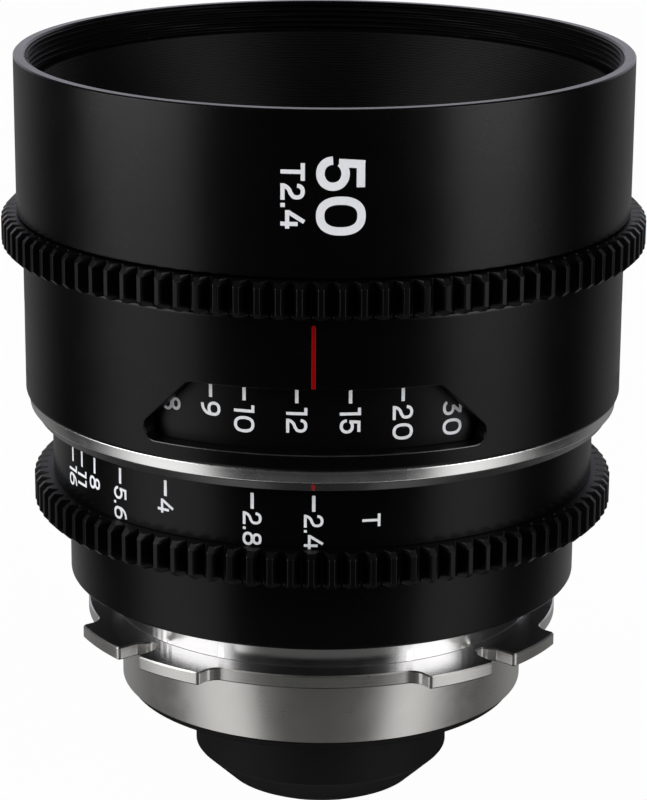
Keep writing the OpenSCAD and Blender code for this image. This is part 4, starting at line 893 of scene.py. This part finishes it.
def ramp(value, low, high):
    """A smooth step from 0 at one value to 1 at another."""
    return value.node("MapRange", {"interpolation_type": "SMOOTHSTEP"},
                      {"Value": value, "From Min": low, "From Max": high})


def white_band(inner, outer):
    """White between two soft edges, each given by the azimuths in degrees where it is black and white. They
    are counted round a point in front of the lens, at bands_y."""
    return ramp(floor_azimuth, *inner) * ramp(floor_azimuth, *outer)


white_bands = white_band((-41, -52), (-102, -74)) + white_band((45, 56), (101, 66))
near_grey = 0.01 + 0.10 * ramp(floor_r, 0.14, 0.09)
rear_grey = 0.2 * ramp(abs(floor_azimuth), 108, 138)
# Painted shadow of the lens: metal and glass see the floor black within 30 mm of the axis, fading to full by
# 48 mm.
outside_painted_shadow = ramp(floor_r, 0.03, 0.048)
bands = floor_start.math("MAXIMUM", white_bands, near_grey + rear_grey)
seen = floor_start.node("LightPath", out="Is Camera Ray")
mirrored = floor_start.math("MAXIMUM", seen.other("Is Glossy Ray"), seen.other("Is Transmission Ray"))
shown = floor_start.math("MAXIMUM", seen, bands * outside_painted_shadow)
white = floor_start.node("Emission", sockets={"Color": shown, "Strength": 1.0})
white_share = 0.975
floor_mix = floor_start.node("MixShader", sockets={0: seen * white_share + mirrored, 2: white})
floor_tree = floor_material.node_tree
floor_tree.links.new(floor_shader.outputs[0], floor_mix.socket.node.inputs[1])
floor_tree.links.new(floor_mix.socket, floor_tree.nodes["Material Output"].inputs["Surface"])
floor_mesh.materials.append(floor_material)

world = bpy.data.worlds.new("dim_room")
world.use_nodes = True
room = Value(world.node_tree)
room_dark, room_white = (0.02, 0.02, 0.02, 1), (1, 1, 1, 1)
room_seen = room.node("LightPath", out="Is Camera Ray")
room_tone = room.node("Mix", {"data_type": "RGBA"}, {"Factor": room_seen, 6: room_dark, 7: room_white}, out=2)
room_tone.feeds(world.node_tree.nodes["Background"], "Color")
bpy.context.scene.world = world


def soft_box(name, azimuth, distance, width, low, high, radiance, colour=(1, 1, 1)):
    """Upright area lamp at an azimuth from the index line, facing the axis, with its power from its radiance:
    radiance times pi times its area."""
    lamp = bpy.data.lights.new(name, "AREA")
    height, tall = (low + high) / 2, high - low
    lamp.color = colour
    lamp.shape, lamp.size, lamp.size_y = "RECTANGLE", width, tall
    lamp.energy = radiance * math.pi * width * tall
    made = bpy.data.objects.new(name, lamp)
    turn = math.radians(azimuth)
    made.location = (distance * math.sin(turn), -distance * math.cos(turn), height)
    made.visible_camera = False
    aim = Vector((0, 0, height)) - Vector(made.location)
    made.rotation_euler = aim.to_track_quat("-Z", "Y").to_euler()
    bpy.context.scene.collection.objects.link(made)


soft_box("left_box", azimuth=-70, distance=0.70, width=0.58, low=-0.02, high=0.88, radiance=4.7)
soft_box("right_box", azimuth=61, distance=0.70, width=0.43, low=-0.02, high=0.88, radiance=5.0)
soft_box("rear_box", azimuth=180, distance=1.0, width=1.8, low=0.0, high=0.7, radiance=0.9,
         colour=(0.91, 0.89, 1.0))


# Camera: it stands in front of the lens and a little above it, where the photograph was taken from. Its
# place, its angles and its focal length were fitted to the ellipses of the rims and rings.
image_w, image_h, focal_px = 647, 800, 3021.0
camera_mm, camera_turn, camera_down, camera_roll = (10.77, -385.5, 144.25), 1.582, 16.69, 0.342
camera_data = bpy.data.cameras.new("camera")
camera_data.sensor_width = 36.0
camera_data.lens = focal_px * camera_data.sensor_width / max(image_w, image_h)
camera = bpy.data.objects.new("camera", camera_data)
swing = Matrix.Rotation(math.radians(camera_turn), 4, "Z")
tilt = Matrix.Rotation(math.radians(90 - camera_down), 4, "X")
roll = Matrix.Rotation(math.radians(camera_roll), 4, "Z")
camera.matrix_world = Matrix.Translation(Vector(camera_mm) / 1000) @ swing @ tilt @ roll
bpy.context.scene.collection.objects.link(camera)
bpy.context.scene.camera = camera
